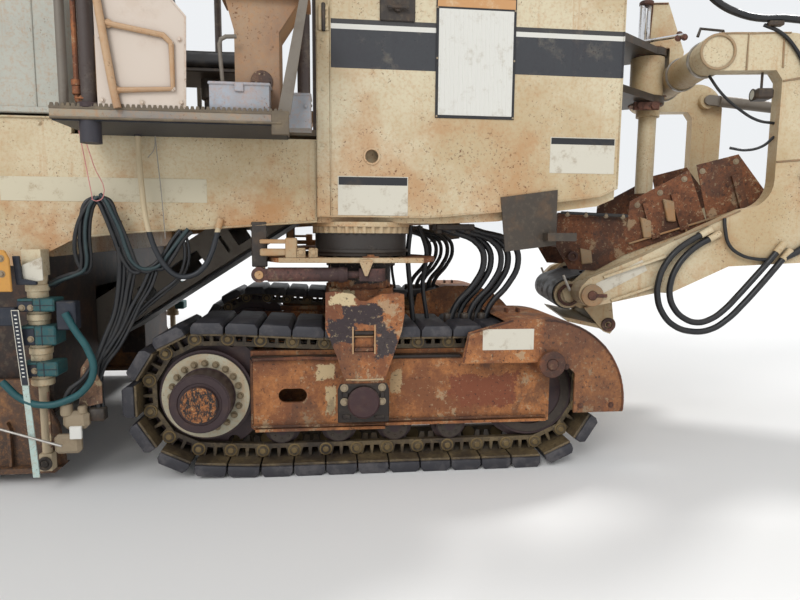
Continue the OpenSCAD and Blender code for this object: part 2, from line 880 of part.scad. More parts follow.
module seats() {
    color("black")
        both_sides() {
            cyl_z(-820, -900, 60, [deck_z + gap, deck_z + 320]);
            block([-1060, -600], [-1130, -670], [deck_z + 320, deck_z + 420]);
            plate_xz([
                [-1080, deck_z + 420], [-960, deck_z + 420], [-1030, deck_z + 900],
                [-1150, deck_z + 900]
            ], [-1110, -690]);
        }
}

module ladders() {
    color("goldenrod")
        both_sides() {
            for (y = [-660, -270])
                block([rear_x + 8, rear_x + 48], [y, y + 30], [600, 1560 - gap]);
            for (i = [0:2])
                block([rear_x + 8, rear_x + 48], [-650, -250], [640 + i * 300, 665 + i * 300]);
        }
}

module side_boxes() {
    color("white")
        both_sides() {
            block([-700, -440], [-walk_y + 20, -1545], [deck_z + gap, box_top]);
            block([wing_x1 + gap, -262], [-1480, -1340], [deck_z - 40, deck_z + 110]);
        }
}

// Housing over the drum: two end walls, a rolled hood and front and rear beams
module cutter_housing() {
    arch_r = tip_r + 60;
    color("tan")
        difference() {
            block([house_x0, house_x1], [-house_y, house_y], [360, house_top]);
            cyl_y(drum_x, drum_z, arch_r, [-house_y + 25, house_y - 25]);
            block([drum_x - arch_r, drum_x + arch_r], [-house_y + 25, house_y - 25],
                [300, drum_z]);
            // Mouth towards the primary conveyor
            block([drum_x, house_x1 + 5], [-480, 480], [300, 980]);
            both_sides()
                cyl_y(drum_x, drum_z, 241, [-house_y - 5, -house_y + 30]);
        }
}

module drum_tool(a, y) {
    translate([0, y, 0])
        rotate([0, a, 0]) {
            translate([shell_r - 8, -30, -45])
                cube([78, 60, 90]);
            translate([shell_r + 40, 0, -10])
                rotate([0, 60, 0])
                    cylinder(r1 = 30, r2 = 9, h = (tip_r - shell_r) * 0.86, $fn = 16);
        }
}

module cutter_drum() {
    color("dimgray")
        translate([drum_x, 0, drum_z]) {
            rotate([90, 0, 0]) {
                translate([0, 0, -drum_len / 2])
                    cylinder(r = shell_r, h = drum_len);
                translate([0, 0, -house_y - 20])
                    cylinder(r = 240, h = 2 * house_y + 40);
            }
            // Two helices that carry the millings to the middle
            for (i = [0:3 * turn_n])
                for (s = [-1, 1])
                    drum_tool(s * i * 360 / turn_n + 20 * s,
                        s * (45 + i * (drum_len / 2 - 90) / (3 * turn_n)));
        }
}

module side_plate() {
    color("wheat") {
        difference() {
            plate_xz([
                [-1580, 96], [-1620, 64], [house_x0 - 120, 64], [house_x0 - 180, 120],
                [house_x0 - 60, 560], [house_x1 - 60, 560], [-1604, 300]
            ], [-gate_y - gate_t, -gate_y]);
            cyl_y(drum_x, drum_z, 245, [-gate_y - gate_t - 5, -gate_y + 5]);
        }
        // Skid along the bottom edge
        plate_xz([[-1580, 96], [-1620, 64], [house_x0 - 120, 64], [house_x0 - 160, 96]],
            [-gate_y - gate_t - 40, -gate_y + 30]);
    }
    for (x = lift_xs) {
        color("wheat") {
            block([x - 30, x + 30], [-lift_y - 30, -gate_y - gate_t], [96, 190]);
        }
        color("silver")
            cyl_z(x, -lift_y, 24, [190, 760]);
    }
}

module lift_barrels() {
    color("linen")
        both_sides()
            for (x = lift_xs) {
                difference() {
                    cyl_z(x, -lift_y, 48, [560, 1110]);
                    cyl_z(x, -lift_y, 25, [550, 1090]);
                }
                // Bracket on the chassis side
                block([x - 45, x + 45], [-lift_y - 48, -side_y - gap], [1109, 1240]);
            }
    // Moldboard cylinders, under the rear cross beam
    color("linen")
        both_sides()
            difference() {
                union() {
                    cyl_z(blade_rod_x, -blade_rod_y, 40, [715, 1154]);
                    block([blade_rod_x - 40, house_x0 - 10],
                        [-blade_rod_y - 40, -blade_rod_y + 40], [1134, 1155 - gap]);
                }
                cyl_z(blade_rod_x, -blade_rod_y, 25, [700, 1134]);
            }
}

module moldboard() {
    color("wheat") {
        plate_xz([
            [house_x0 - 72, 110], [house_x0 - 50, 110], [house_x0 - 24, 200],
            [house_x0 - gap, 360], [house_x0 - gap, 700], [house_x0 - 30, 700],
            [house_x0 - 48, 230]
        ], [-1060, 1060]);
        both_sides()
            block([blade_rod_x - 30, house_x0 - 25], [-640, -560], [300, 420]);
    }
    color("silver")
        both_sides()
            cyl_z(blade_rod_x, -blade_rod_y, 24, [410, 845]);
}

// Primary conveyor, drawn along its own length and then raised

module on_primary() {
    translate([tail_x, 0, tail_z])
        rotate([0, -primary_rise, 0])
            children();
}

module primary_conveyor() {
    color("dimgray")
        on_primary() {
            both_sides() {
                difference() {
                    plate_xz([
                        [-110, -110], [primary_len + 110, -110], [primary_len + 110, 90],
                        [primary_len + 60, 140], [-110, 140]
                    ], [-primary_half, -primary_half + 12]);
                    for (i = [0:6])
                        block([260 + i * 360, 460 + i * 360],
                            [-primary_half - 5, -primary_half + 20], [-60, 60]);
                }
            }
            for (x = [0, primary_len])
                cyl_y(x, 0, pulley_r - 12 - gap, [-primary_half + 12, primary_half - 12]);
            // Hanger pins in the tunnel's walls
            both_sides()
                for (x = [1900, 2460])
                    cyl_y(x, 0, 42, [-tank_y0 + 40 + gap, -primary_half + 2]);
            for (i = [0:3])
                block([300 + i * 700, 360 + i * 700],
                    [-primary_half + 2, primary_half - 2], [-60, 60]);
        }
}

// A belt around two pulleys
module belt(length, r, w) {
    t = 12;
    translate([0, w / 2, 0])
        rotate([90, 0, 0])
            linear_extrude(w)
                difference() {
                    union() {
                        circle(r = r);
                        translate([length, 0])
                            circle(r = r);
                        translate([0, -r])
                            square([length, 2 * r]);
                    }
                    circle(r = r - t);
                    translate([length, 0])
                        circle(r = r - t);
                    translate([0, -r + t])
                        square([length, 2 * (r - t)]);
                }
}

module primary_belt() {
    color("black")
        on_primary()
            belt(primary_len, pulley_r, belt_w);
}

// King post bracket on the front of the tanks, with its two eyes
module king_bracket() {
    color("tan") {
        for (z = [king_zs, [king_zs[1] + 290, king_zs[1] + 340]])
            difference() {
                union() {
                    translate([0, 0, z[0]])
                        linear_extrude(z[1] - z[0])
                            polygon([
                                [tank_x1 + gap, -700], [tank_x1 + gap, 700], [king_x, 130],
                                [king_x + 90, 90], [king_x + 90, -90], [king_x, -130]
                            ]);
                    cyl_z(king_x, 0, 130, z);
                }
                cyl_z(king_x, 0, 71, [z[0] - 5, z[1] + 5]);
            }
        both_sides()
            block([tank_x1 + gap, tank_x1 + 40], [-700, -600], [2250, 2740]);
        both_sides()
            block([tank_x1 + 40, king_x - 350], [-330, -300], [2350, 2640]);
    }
}

// Everything past here turns at the king post, drawn with the post at the origin
module on_king() {
    translate([king_x, 0, 0])
        rotate([0, 0, -boom_swing])
            children();
}

arm_y = 620;
arm_w = 110;

// Gooseneck arm: a level beam from the cross tube, a leg, and a deep foot along the boom
arm_r = 113;
arm_back = 193;
arm_z = 2481;
leg_x0 = 600;
leg_x1 = 840;
foot_z = boom_pin_z + 10;
arm_profile = concat(
    arc([arm_back, arm_z], arm_r, 270, 90, 10),
    arc([leg_x1 - 210, arm_z + arm_r - 210], 210, 90, 0, 8),
    [[leg_x1, 1760]],
    arc([960 - 130, 1500 - 60], 130, 40, 0, 3),
    arc([960 - 110, 1270], 110, 0, -88, 5),
    [[352, 1128], [-13, 946], [-88, 950], [-452, 864]],
    arc([boom_pin_x, foot_z], 86, 262, 128, 6),
    [[-539, 1040], [-204, 1188], [174, 1384], [420, 1502]],
    arc([420, 1682], 180, -70, 0, 6),
    [[leg_x0, 2310], [leg_x0 - 40, arm_z - arm_r]]
);

module swing_yoke() {
    color("wheat")
        on_king() {
            cyl_z(0, 0, 70, [king_zs[0] - 40, 2704]);
            cyl_z(0, 0, 120, [2355, 2635]);
            // Cross tube between the two gooseneck arms, seated on the post's hub
            difference() {
                cyl_y(arm_back, arm_z, arm_r - 6, [-arm_y, arm_y]);
                cyl_z(0, 0, 60, [2360, 2630]);
            }
            // Upright web at the post, and the post's foot
            plate_xz([
                [136, 2500], [226, 2560], [238, 2670], [108, 3020], [-4, 3020], [-26, 2697],
                [136, 2697]
            ], [-62, 62]);
            cyl_z(20, 0, 64, [1640, king_zs[0] - 6]);
            cyl_z(20, 0, 84, [king_zs[0] - 90, king_zs[0] - 6]);
            both_sides() {
                plate_xz(arm_profile, [-arm_y - arm_w, -arm_y]);
                // Boss that takes the boom's foot pin
                difference() {
                    cyl_y(boom_pin_x, boom_pin_z, 82, [-arm_y, -boom_half - 30]);
                    cyl_y(boom_pin_x, boom_pin_z, 41, [-arm_y - 5, -boom_half - 25]);
                }
                // Boss for the hoist cylinder's pin
                difference() {
                    cyl_y(hoist_a[0], hoist_a[1], 65, [-arm_y - 5, -hoist_y - 15]);
                    cyl_y(hoist_a[0], hoist_a[1], 30, [-arm_y, -hoist_y - 10]);
                }
                // Channel round the nameless plate's place, with its flanges
                translate([-420, 0, 958])
                    rotate([0, -20, 0]) {
                        block([0, 420], [-arm_y - arm_w - 26, -arm_y - 20], [88, 104]);
                        block([0, 330], [-arm_y - arm_w - 26, -arm_y - 20], [-76, -60]);
                    }
            }
            // Fittings of the two boom hoses
            for (h = [hose_outer, hose_inner]) {
                bar(h[0], h[0] - aim(h, 0) * 80, hose_r + 3);
                bar(h[len(h) - 1], h[len(h) - 1] + aim(h, len(h) - 1) * 80, hose_r + 3);
            }
        }
}

// Routes of the two boom hoses beside the right-hand arm, in the king post's frame
hose_r = 20;
hose_outer = [
    [150, -751, 1330], [90, -756, 1296], [0, -766, 1228], [-70, -776, 1140], [-108, -782, 1040],
    [-112, -784, 930], [-74, -784, 822], [6, -784, 738], [118, -784, 702], [236, -784, 716],
    [344, -780, 786], [436, -774, 882], [520, -768, 982], [602, -760, 1084], [676, -751, 1178]
];
hose_inner = [
    [206, -751, 1304], [146, -756, 1270], [66, -766, 1204], [4, -776, 1122], [-30, -782, 1030],
    [-34, -786, 934], [0, -788, 850], [66, -788, 788], [150, -788, 762], [236, -786, 786],
    [318, -782, 848], [402, -774, 940], [486, -766, 1040], [566, -758, 1136], [634, -751, 1222]
];

module boom_hose_outer() {
    color("black")
        on_king()
            hose(hose_outer, hose_r);
}

module boom_hose_inner() {
    color("black")
        on_king()
            hose(hose_inner, hose_r);
}

// Loading boom, drawn along its own length from the foot pin

module on_boom() {
    on_king()
        translate([boom_pin_x, 0, boom_pin_z])
            rotate([0, -boom_rise, 0])
                children();
}

module boom_frame() {
    color("wheat")
        on_boom() {
            both_sides() {
                difference() {
                    plate_xz([
                        [-130, -30], [-40, -120], [boom_len + 120, -120], [boom_len + boom_nose, -60],
                        [boom_len + boom_nose, 60], [boom_len - 150, 230], [380, 230],
                        [60, 130], [-130, 40]
                    ], [-boom_half, -boom_half + 12]);
                    for (i = [0:8])
                        block([900 + i * 640, 1380 + i * 640],
                            [-boom_half - 5, -boom_half + 20], [-40, 120]);
                }
                // Foot pin
                cyl_y(0, 0, 40, [-arm_y + 2, -boom_half]);
                // Hoist eye
                plate_xz([
                    [hoist_at - 110, 120], [hoist_at + 110, 120],
                    [hoist_at + 60, 262], [hoist_at - 60, 262]
                ], [-hoist_y + 28.5, -boom_half + 2]);
            }
            for (x = [boom_tail, boom_len])
                cyl_y(x, 0, boom_r - 12 - gap, [-boom_half + 12, boom_half - 12]);
            // Return roller and scraper in brackets below the foot, and the drive's motor
            both_sides() {
                plate_xz([
                    [-20, -115], [190, -115], [150, -330], [110, -360], [70, -330]
                ], [-boom_half, -boom_half + 12]);
                cyl_y(250, -20, 76, [-boom_half - 96, -boom_half + 1]);
            }
            cyl_y(116, -292, 56, [-boom_half + 11, boom_half - 11]);
            plate_xz([[-170, -150], [-150, -190], [84, -322], [84, -290]], [-410, 410]);
            for (i = [0:9])
                block([600 + i * 640, 660 + i * 640], [-boom_half + 2, boom_half - 2],
                    [-90, 90]);
        }
}

// Flared skirts that catch the millings at the boom's foot
module hopper() {
    wall = 10;
    near = boom_half + gap;
    color("sienna")
        on_boom() {
            both_sides() {
                // Rusted cheek with its folded rim and foot
                plate_xz([
                    [-86, 356], [-43, 178], [132, 112], [384, 168], [434, 413], [-10, 576]
                ], [-near - wall, -near]);
                plate_xz([[-18, 572], [430, 407], [434, 420], [-10, 586]], [-near - 44, -near]);
                cyl_y(0, 262, 36, [-near - 46, -near]);
                // Skirt panels, each with its rib
                plate_xz([[350, 160], [489, 509], [928, 595], [948, 200]],
                    [-near - wall + 2, -near]);
                plate_xz([[956, 200], [985, 613], [1269, 597], [1403, 232], [1403, 200]],
                    [-near - wall + 2, -near]);
                for (x = [560, 760, 1180])
                    block([x, x + 60], [-near - 30, -near], [210, 470]);
            }
            // Back plate across the foot
            plate_xz([[-86, 356], [-76, 356], [0, 570], [-10, 576]], [-near, near]);
        }
}

module boom_belt() {
    color("black")
        on_boom()
            translate([boom_tail, 0, 0])
                belt(boom_len - boom_tail, boom_r, belt_w);
}

// Hoist cylinders between the arms and the boom
hoist_a = [700, 2450];
hoist_at = 3500;
hoist_eye = [boom_pin_x + hoist_at * cos(boom_rise) - 200 * sin(boom_rise),
    boom_pin_z + hoist_at * sin(boom_rise) + 200 * cos(boom_rise)];
hoist_tilt = atan2(hoist_eye[1] - hoist_a[1], hoist_eye[0] - hoist_a[0]);
hoist_len = norm(hoist_eye - hoist_a);
hoist_y = 545;

module on_hoist() {
    on_king()
        both_sides()
            translate([hoist_a[0], -hoist_y, hoist_a[1]])
                rotate([0, -hoist_tilt, 0])
                    children();
}

module hoist_barrels() {
    color("dimgray")
        on_hoist() {
            difference() {
                translate([80, 0, 0])
                    rotate([0, 90, 0])
                        cylinder(r = 45, h = 980);
                translate([180, 0, 0])
                    rotate([0, 90, 0])
                        cylinder(r = 26, h = 900);
            }
            block([0, 90], [-14, 14], [-40, 40]);
            cyl_y(0, 0, 40, [-14, 14]);
            cyl_y(0, 0, 29.7, [hoist_y - arm_y + 5, 0]);
        }
}

module hoist_rods() {
    color("silver")
        on_hoist() {
            translate([500, 0, 0])
                rotate([0, 90, 0])
                    cylinder(r = 25, h = hoist_len - 550);
            cyl_y(hoist_len, 0, 60, [-28, 28]);
        }
}

// Dark plate with a step, bolted to the tank's lower front corner
module step_plates() {
    color("slategray")
        both_sides() {
            plate_xz([[740, 1528], [1055, 1572], [1055, 1272], [772, 1236]],
                [-tank_y1 - 12, -tank_y1 - gap]);
            block([980, 1140], [-tank_y1 - 90, -tank_y1 - 12], [1296, 1306]);
            block([980, 990], [-tank_y1 - 90, -tank_y1 - 12], [1296, 1340]);
            block([980, 1140], [-tank_y1 - 90, -tank_y1 - 82], [1296, 1340]);
        }
}

// Rubber curtain in front of the primary conveyor's discharge
module curtain() {
    color("black")
        block([tank_x1 + 60, tank_x1 + 72], [-500, 500], [1720, king_zs[0] - gap]);
}

// Hose that loops down from the walkway's underside to the chassis wall
side_hose_r = 14;
side_route = [
    [-1118, -1270, 1800], [-1118, -1270, 1730], [-1110, -1284, 1634], [-1100, -1298, 1530],
    [-1090, -1308, 1430], [-1072, -1308, 1330], [-1044, -1304, 1236], [-1002, -1298, 1158],
    [-944, -1290, 1108], [-876, -1280, 1110], [-820, -1270, 1152], [-784, -1262, 1216],
    [-762, -1252, 1286], [-748, -1238, 1350]
];

module side_hose() {
    color("black")
        hose(side_route, side_hose_r);
}

module lamps() {
    color("white")
        both_sides() {
            block([tank_x1 - 160, tank_x1 - 20], [-1180, -1000], [tank_top + gap, tank_top + 140]);
            block([rear_x + 2, rear_x + 58], [-1180, -1020], [hood_z - 12 + gap, hood_z + 90]);
        }
}

placed() main_frame();
placed() engine_hood();
placed() hood_door();  // hood_door_right
placed() mirror([0, 1, 0]) hood_door();  // hood_door_left
placed() engine_block();
placed() radiator_grille();
placed() exhaust_stacks();
placed() tanks();
placed() deck();
placed() handrails();
placed() canopy();
placed() console();
placed() seats();
placed() ladders();
placed() side_boxes();
placed() cutter_housing();
placed() cutter_drum();
placed() side_plate();  // side_plate_right
placed() mirror([0, 1, 0]) side_plate();  // side_plate_left
placed() moldboard();
placed() lift_barrels();
placed() primary_conveyor();
placed() primary_belt();
placed() king_bracket();
placed() swing_yoke();
placed() hopper();
placed() boom_frame();
placed() boom_belt();
placed() hoist_barrels();
placed() hoist_rods();
placed() steer_barrels();
at_corner(0) steer_rod();  // steer_rod_front_right
at_corner(1) steer_rod();  // steer_rod_front_left
at_corner(2) steer_rod();  // steer_rod_rear_right
at_corner(3) steer_rod();  // steer_rod_rear_left
placed() lamps();
placed() slew_drums();
placed() step_plates();
placed() curtain();
placed() boom_hose_outer();
placed() boom_hose_inner();
placed() side_hose();
at_corner(0) leg();  // leg_front_right
at_corner(0) track_frame();  // frame_front_right
at_corner(0) wheels();  // wheels_front_right
at_corner(0) track();  // track_front_right
at_corner(1) leg();  // leg_front_left
at_corner(1) track_frame();  // frame_front_left
at_corner(1) wheels();  // wheels_front_left
at_corner(1) track();  // track_front_left
at_corner(2) leg();  // leg_rear_right
at_corner(2) track_frame();  // frame_rear_right
at_corner(2) wheels();  // wheels_rear_right
at_corner(2) track();  // track_rear_right
at_corner(3) leg();  // leg_rear_left
at_corner(3) track_frame();  // frame_rear_left
at_corner(3) wheels();  // wheels_rear_left
at_corner(3) track();  // track_rear_left
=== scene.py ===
"""Looks of a cold planer milling machine on four crawler tracks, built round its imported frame."""

import json
import logging
import math
from collections.abc import Sequence
from dataclasses import dataclass
from enum import Enum

import bpy
from mathutils import Matrix, Vector


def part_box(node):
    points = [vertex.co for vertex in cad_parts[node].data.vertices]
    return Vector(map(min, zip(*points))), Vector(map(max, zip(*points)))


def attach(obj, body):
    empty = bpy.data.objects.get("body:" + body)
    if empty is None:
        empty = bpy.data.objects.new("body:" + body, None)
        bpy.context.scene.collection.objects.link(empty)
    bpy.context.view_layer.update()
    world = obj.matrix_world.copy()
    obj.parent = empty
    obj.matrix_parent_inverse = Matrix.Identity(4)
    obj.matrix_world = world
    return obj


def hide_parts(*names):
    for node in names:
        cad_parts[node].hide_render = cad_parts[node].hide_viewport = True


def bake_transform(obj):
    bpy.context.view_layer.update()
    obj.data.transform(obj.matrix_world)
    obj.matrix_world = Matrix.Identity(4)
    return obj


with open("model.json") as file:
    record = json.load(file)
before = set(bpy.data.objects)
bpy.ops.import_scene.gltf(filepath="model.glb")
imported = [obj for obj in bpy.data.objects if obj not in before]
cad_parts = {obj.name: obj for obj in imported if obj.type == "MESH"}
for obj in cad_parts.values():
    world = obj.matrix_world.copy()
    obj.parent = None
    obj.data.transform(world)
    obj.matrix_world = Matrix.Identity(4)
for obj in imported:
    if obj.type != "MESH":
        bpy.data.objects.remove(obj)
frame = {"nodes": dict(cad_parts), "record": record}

Colour = tuple[int, int, int]
Point = tuple[float, float, float]
Spot = tuple[float, float]
Piece = bpy.types.Object
Material = bpy.types.Material
Socket = bpy.types.NodeSocket

LOG = logging.getLogger("planer")

# Parts are drawn in millimetres; frames, finishes and bodies are in metres
MM = 0.001
DRIVE_BACK = 852
DRIVE_Z = 440
DRIVE_R = 315
PIN_R = 306
PAD_H = 108
TRACK_Y = 995
WHEELBASE = 5050
AXLE_Z = PIN_R + PAD_H
FRONT_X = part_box("tanks")[0].x + 0.24
POST_XS = (-1634, -3240)
BLADE_X = -3416
BOOM_PIN = Vector((-520, 0, 925))
OUT = (0, -1, 0)
UP = (0, 0, 1)


def moved(x: float, y: float, z: float) -> Matrix:
    """Gives a shift, from millimetres."""
    return Matrix.Translation(Vector((x, y, z)) * MM)


STATION = Matrix.Translation((FRONT_X, 0, 0))
KING = STATION @ moved(2200, 0, 0) @ Matrix.Rotation(-math.radians(10), 4, "Z")
BOOM = KING @ moved(*BOOM_PIN) @ Matrix.Rotation(-math.radians(18), 4, "Y")
LEFT = Matrix.Scale(-1.0, 4, (0, 1, 0))
SIDES = (("right", STATION), ("left", STATION @ LEFT))


def linear(red: int, green: int, blue: int) -> Point:
    """Turns a colour as it looks on a screen into the shader's linear values.

    Args:
        red: Red, from 0 to 255.
        green: Green, from 0 to 255.
        blue: Blue, from 0 to 255.

    Returns:
        The three linear values.
    """
    shares = (value / 255 for value in (red, green, blue))
    return tuple(s / 12.92 if s <= 0.04045 else ((s + 0.055) / 1.055) ** 2.4 for s in shares)


class Graph:
    """A material's node tree, wired one node at a time."""

    def __init__(self, name: str) -> None:
        """Starts an empty material of that name with its shader and output.

        Args:
            name: The material's name.
        """
        self.material = bpy.data.materials.new(name)
        self.material.use_nodes = True
        self.tree = self.material.node_tree
        self.tree.nodes.clear()
        self.shader = self.tree.nodes.new("ShaderNodeBsdfPrincipled")
        output = self.tree.nodes.new("ShaderNodeOutputMaterial")
        self.tree.links.new(self.shader.outputs["BSDF"], output.inputs["Surface"])

    def feed(self, socket: Socket, value: Socket | float | Sequence[float]) -> None:
        """Links a socket, or sets it to a plain value or a screen colour.

        Args:
            socket: The input to fill.
            value: An output to link, a number, or a colour from 0 to 255.
        """
        if isinstance(value, bpy.types.NodeSocket):
            self.tree.links.new(value, socket)
        else:
            socket.default_value = (*linear(*value), 1.0) if socket.type == "RGBA" else value

    def node(self, kind: str, output: str | int, fed: dict[str | int, Socket | float | Sequence[float]],
             **settings: str | int | bool) -> Socket:
        """Adds one node.

        Args:
            kind: Its type, less the first word.
            output: The output that is wanted.
            fed: What goes to its inputs, by name or number.
            settings: Its other settings.

        Returns:
            The output.
        """
        node = self.tree.nodes.new(f"ShaderNode{kind}")
        for name, value in settings.items():
            setattr(node, name, value)
        for key, value in fed.items():
            self.feed(node.inputs[key], value)
        return node.outputs[output]

    def place(self, stretch: Point = (1.0, 1.0, 1.0)) -> Socket:
        """Gives the place on the object, in metres, stretched along its axes."""
        return self.node("Mapping", "Vector", {"Vector": self.node("TexCoord", "Object", {}),
            "Scale": stretch})

    def axis(self, vector: Socket, name: str) -> Socket:
        """Gives one axis of a coordinate, X, Y or Z."""
        return self.node("SeparateXYZ", name, {"Vector": vector})

    def noise(self, vector: Socket, scale: float, detail: float = 5.0, rough: float = 0.6) -> Socket:
        """Makes a cloudy pattern with so many patches in a metre, about 0.3 to 0.7."""
        return self.node("TexNoise", "Fac", {"Vector": vector, "Scale": scale, "Detail": detail,
            "Roughness": rough})

    def span(self, value: Socket, low: float, high: float) -> Socket:
        """Stretches a value so that low becomes 0 and high becomes 1, and clamps it."""
        return self.node("MapRange", "Result", {"Value": value, "From Min": low, "From Max": high},
                         interpolation_type="SMOOTHSTEP")

    def math(self, operation: str, a: Socket | float, b: Socket | float) -> Socket:
        """Combines two values by a named operation and clamps the result."""
        return self.node("Math", "Value", {0: a, 1: b}, operation=operation, use_clamp=True)

    def times(self, a: Socket | float, b: Socket | float) -> Socket:
        """Multiplies two values and clamps the result."""
        return self.math("MULTIPLY", a, b)

    def mix(self, share: Socket | float, a: Socket | Colour, b: Socket | Colour) -> Socket:
        """Mixes two colours by the share of the second one."""
        return self.node("Mix", 2, {0: share, 6: a, 7: b}, data_type="RGBA")

    def spread(self, value: Socket, middle: float, half: float) -> Socket:
        """Measures a value from a middle in half widths, not clamped."""
        return self.node("Math", "Value", {0: value, 1: 1.0 / half, 2: -middle / half},
                         operation="MULTIPLY_ADD")

    def blend(self, share: Socket | float, a: float, b: float) -> Socket:
        """Gives a number between a and b by a share."""
        return self.node("MapRange", "Result", {"Value": share, "To Min": a, "To Max": b})

    def bump(self, height: Socket, strength: float, depth: float, **below: Socket) -> Socket:
        """Turns a height pattern, so many metres deep, into a bent normal over the one below."""
        return self.node("Bump", "Normal", {"Strength": strength, "Distance": depth, "Height": height,
            **below})

    def corners(self, reach: float) -> Socket:
        """Gives 0 in the open and more in corners that are closer than reach, for painting shade into
        corners.
        """
        open_share = self.node("AmbientOcclusion", "AO", {"Distance": reach}, samples=4)
        return self.math("SUBTRACT", 1.0, open_share)

    def band(self, value: Socket, low: float, high: float) -> Socket:
        """Gives 1 where a value lies between low and high."""
        return self.times(self.math("GREATER_THAN", value, low), self.math("LESS_THAN", value, high))

    def finish(self, colour: Socket | Colour, rough: Socket | float, normal: Socket | None = None,
               metallic: float = 0.0) -> Material:
        """Fills the shader and hands the material over.

        Args:
            colour: Base colour.
            rough: Roughness.
            normal: Bent normal, if any.
            metallic: Share of bare metal.

        Returns:
            The finished material.
        """
        for name, value in (("Base Color", colour), ("Roughness", rough), ("Metallic", metallic),
                            ("Normal", normal)):
            if value is not None:
                self.feed(self.shader.inputs[name], value)
        return self.material


@dataclass(frozen=True)
class Band:
    """A painted stripe between two heights, ahead of a station."""

    low: float
    high: float
    colour: Colour


@dataclass(frozen=True)
class Patch:
    """A ragged patch of paint or oil on a side face, from the front pivots, in metres."""

    x: float
    z: float
    wide: float
    high: float
    colour: Colour


@dataclass(frozen=True)
class WornPaint:
    """Chalky paint with rust clouds, freckles, run marks, and corners darkened with painted shade and
    soiling.
    """

    coat: Colour
    faded: Colour
    clouds: float = 0.5
    freckles: float = 0.5
    runs: float = 0.35
    # Share and colour of the corner darkening: partly soiling, partly painted shade.
    grime_and_shade: float = 0.5
    stain: Colour = (176, 120, 66)
    rust: Colour = (96, 56, 32)
    soot_and_shade: Colour = (58, 44, 32)
    rough: float = 0.55
    low_z: float | None = None
    high_z: float = 0.0
    bands: tuple[Band, ...] = ()
    bands_from: float = -99.0
    bands_y: float = 1.248

    def build(self, name: str) -> Material:
        """Wires the paint's nodes.

        Args:
            name: The material's name.

        Returns:
            The finished material.
        """
        g = Graph(name)
        place = g.place()
        coat = g.mix(g.span(g.noise(place, 1.1, 6, 0.62), 0.4, 0.62), self.coat, self.faded)
        cloud = g.noise(place, 2.6, 9, 0.68)
        if self.low_z is not None:
            height = g.blend(g.span(g.axis(place, "Z"), self.low_z, self.high_z), 0.13, 0.0)
            cloud = g.math("ADD", cloud, height)
        cloud_share = g.times(g.span(cloud, 0.5, 0.72), self.clouds)
        run = g.noise(g.place((1.0, 1.0, 0.06)), 17, 5, 0.7)
        run_share = g.times(g.span(run, 0.55, 0.7), self.runs)
        grain = g.noise(place, 55, 7, 0.72)
        dusty = g.mix(g.times(g.span(grain, 0.45, 0.66), 0.3), coat, self.stain)
        stained = g.mix(g.math("MAXIMUM", cloud_share, run_share), dusty, self.stain)
        where = g.noise(place, 5.5, 5, 0.7)
        if self.low_z is not None:
            where = g.math("ADD", where, height)
        spots = g.times(g.span(g.noise(place, 90, 3, 0.6), 0.6, 0.66), g.span(where, 0.44, 0.66))
        pits = g.span(g.noise(place, 24, 10, 0.8), 0.6, 0.68)
        rusted = g.times(g.math("MAXIMUM", spots, g.times(pits, cloud_share)), self.freckles * 1.6)
        aged = g.mix(rusted, stained, self.rust)
        if self.bands:
            outside = g.math("SUBTRACT", 1.0, g.band(g.axis(place, "Y"), -self.bands_y, self.bands_y))
            ahead = g.times(g.math("GREATER_THAN", g.axis(place, "X"), self.bands_from), outside)
            ahead = g.times(ahead, g.blend(g.span(where, 0.52, 0.74), 0.96, 0.8))
            for stripe in self.bands:
                share = g.times(g.band(g.axis(place, "Z"), stripe.low, stripe.high), ahead)
                aged = g.mix(share, aged, stripe.colour)
        # Painted shade: ambient occlusion darkens corners towards a dark colour, with some soiling.
        dirt_and_shade = g.times(g.span(g.corners(0.1), 0.25, 0.95), self.grime_and_shade)
        coarse = g.bump(g.noise(place, 4.0, 3, 0.5), 0.25, 0.006)
        normal = g.bump(g.math("ADD", g.times(grain, 0.4), g.times(rusted, 0.5)), 0.35, 0.002, Normal=coarse)
        return g.finish(g.mix(dirt_and_shade, aged, self.soot_and_shade), g.blend(g.math("MAXIMUM", rusted, dirt_and_shade), self.rough,
            0.92), normal)


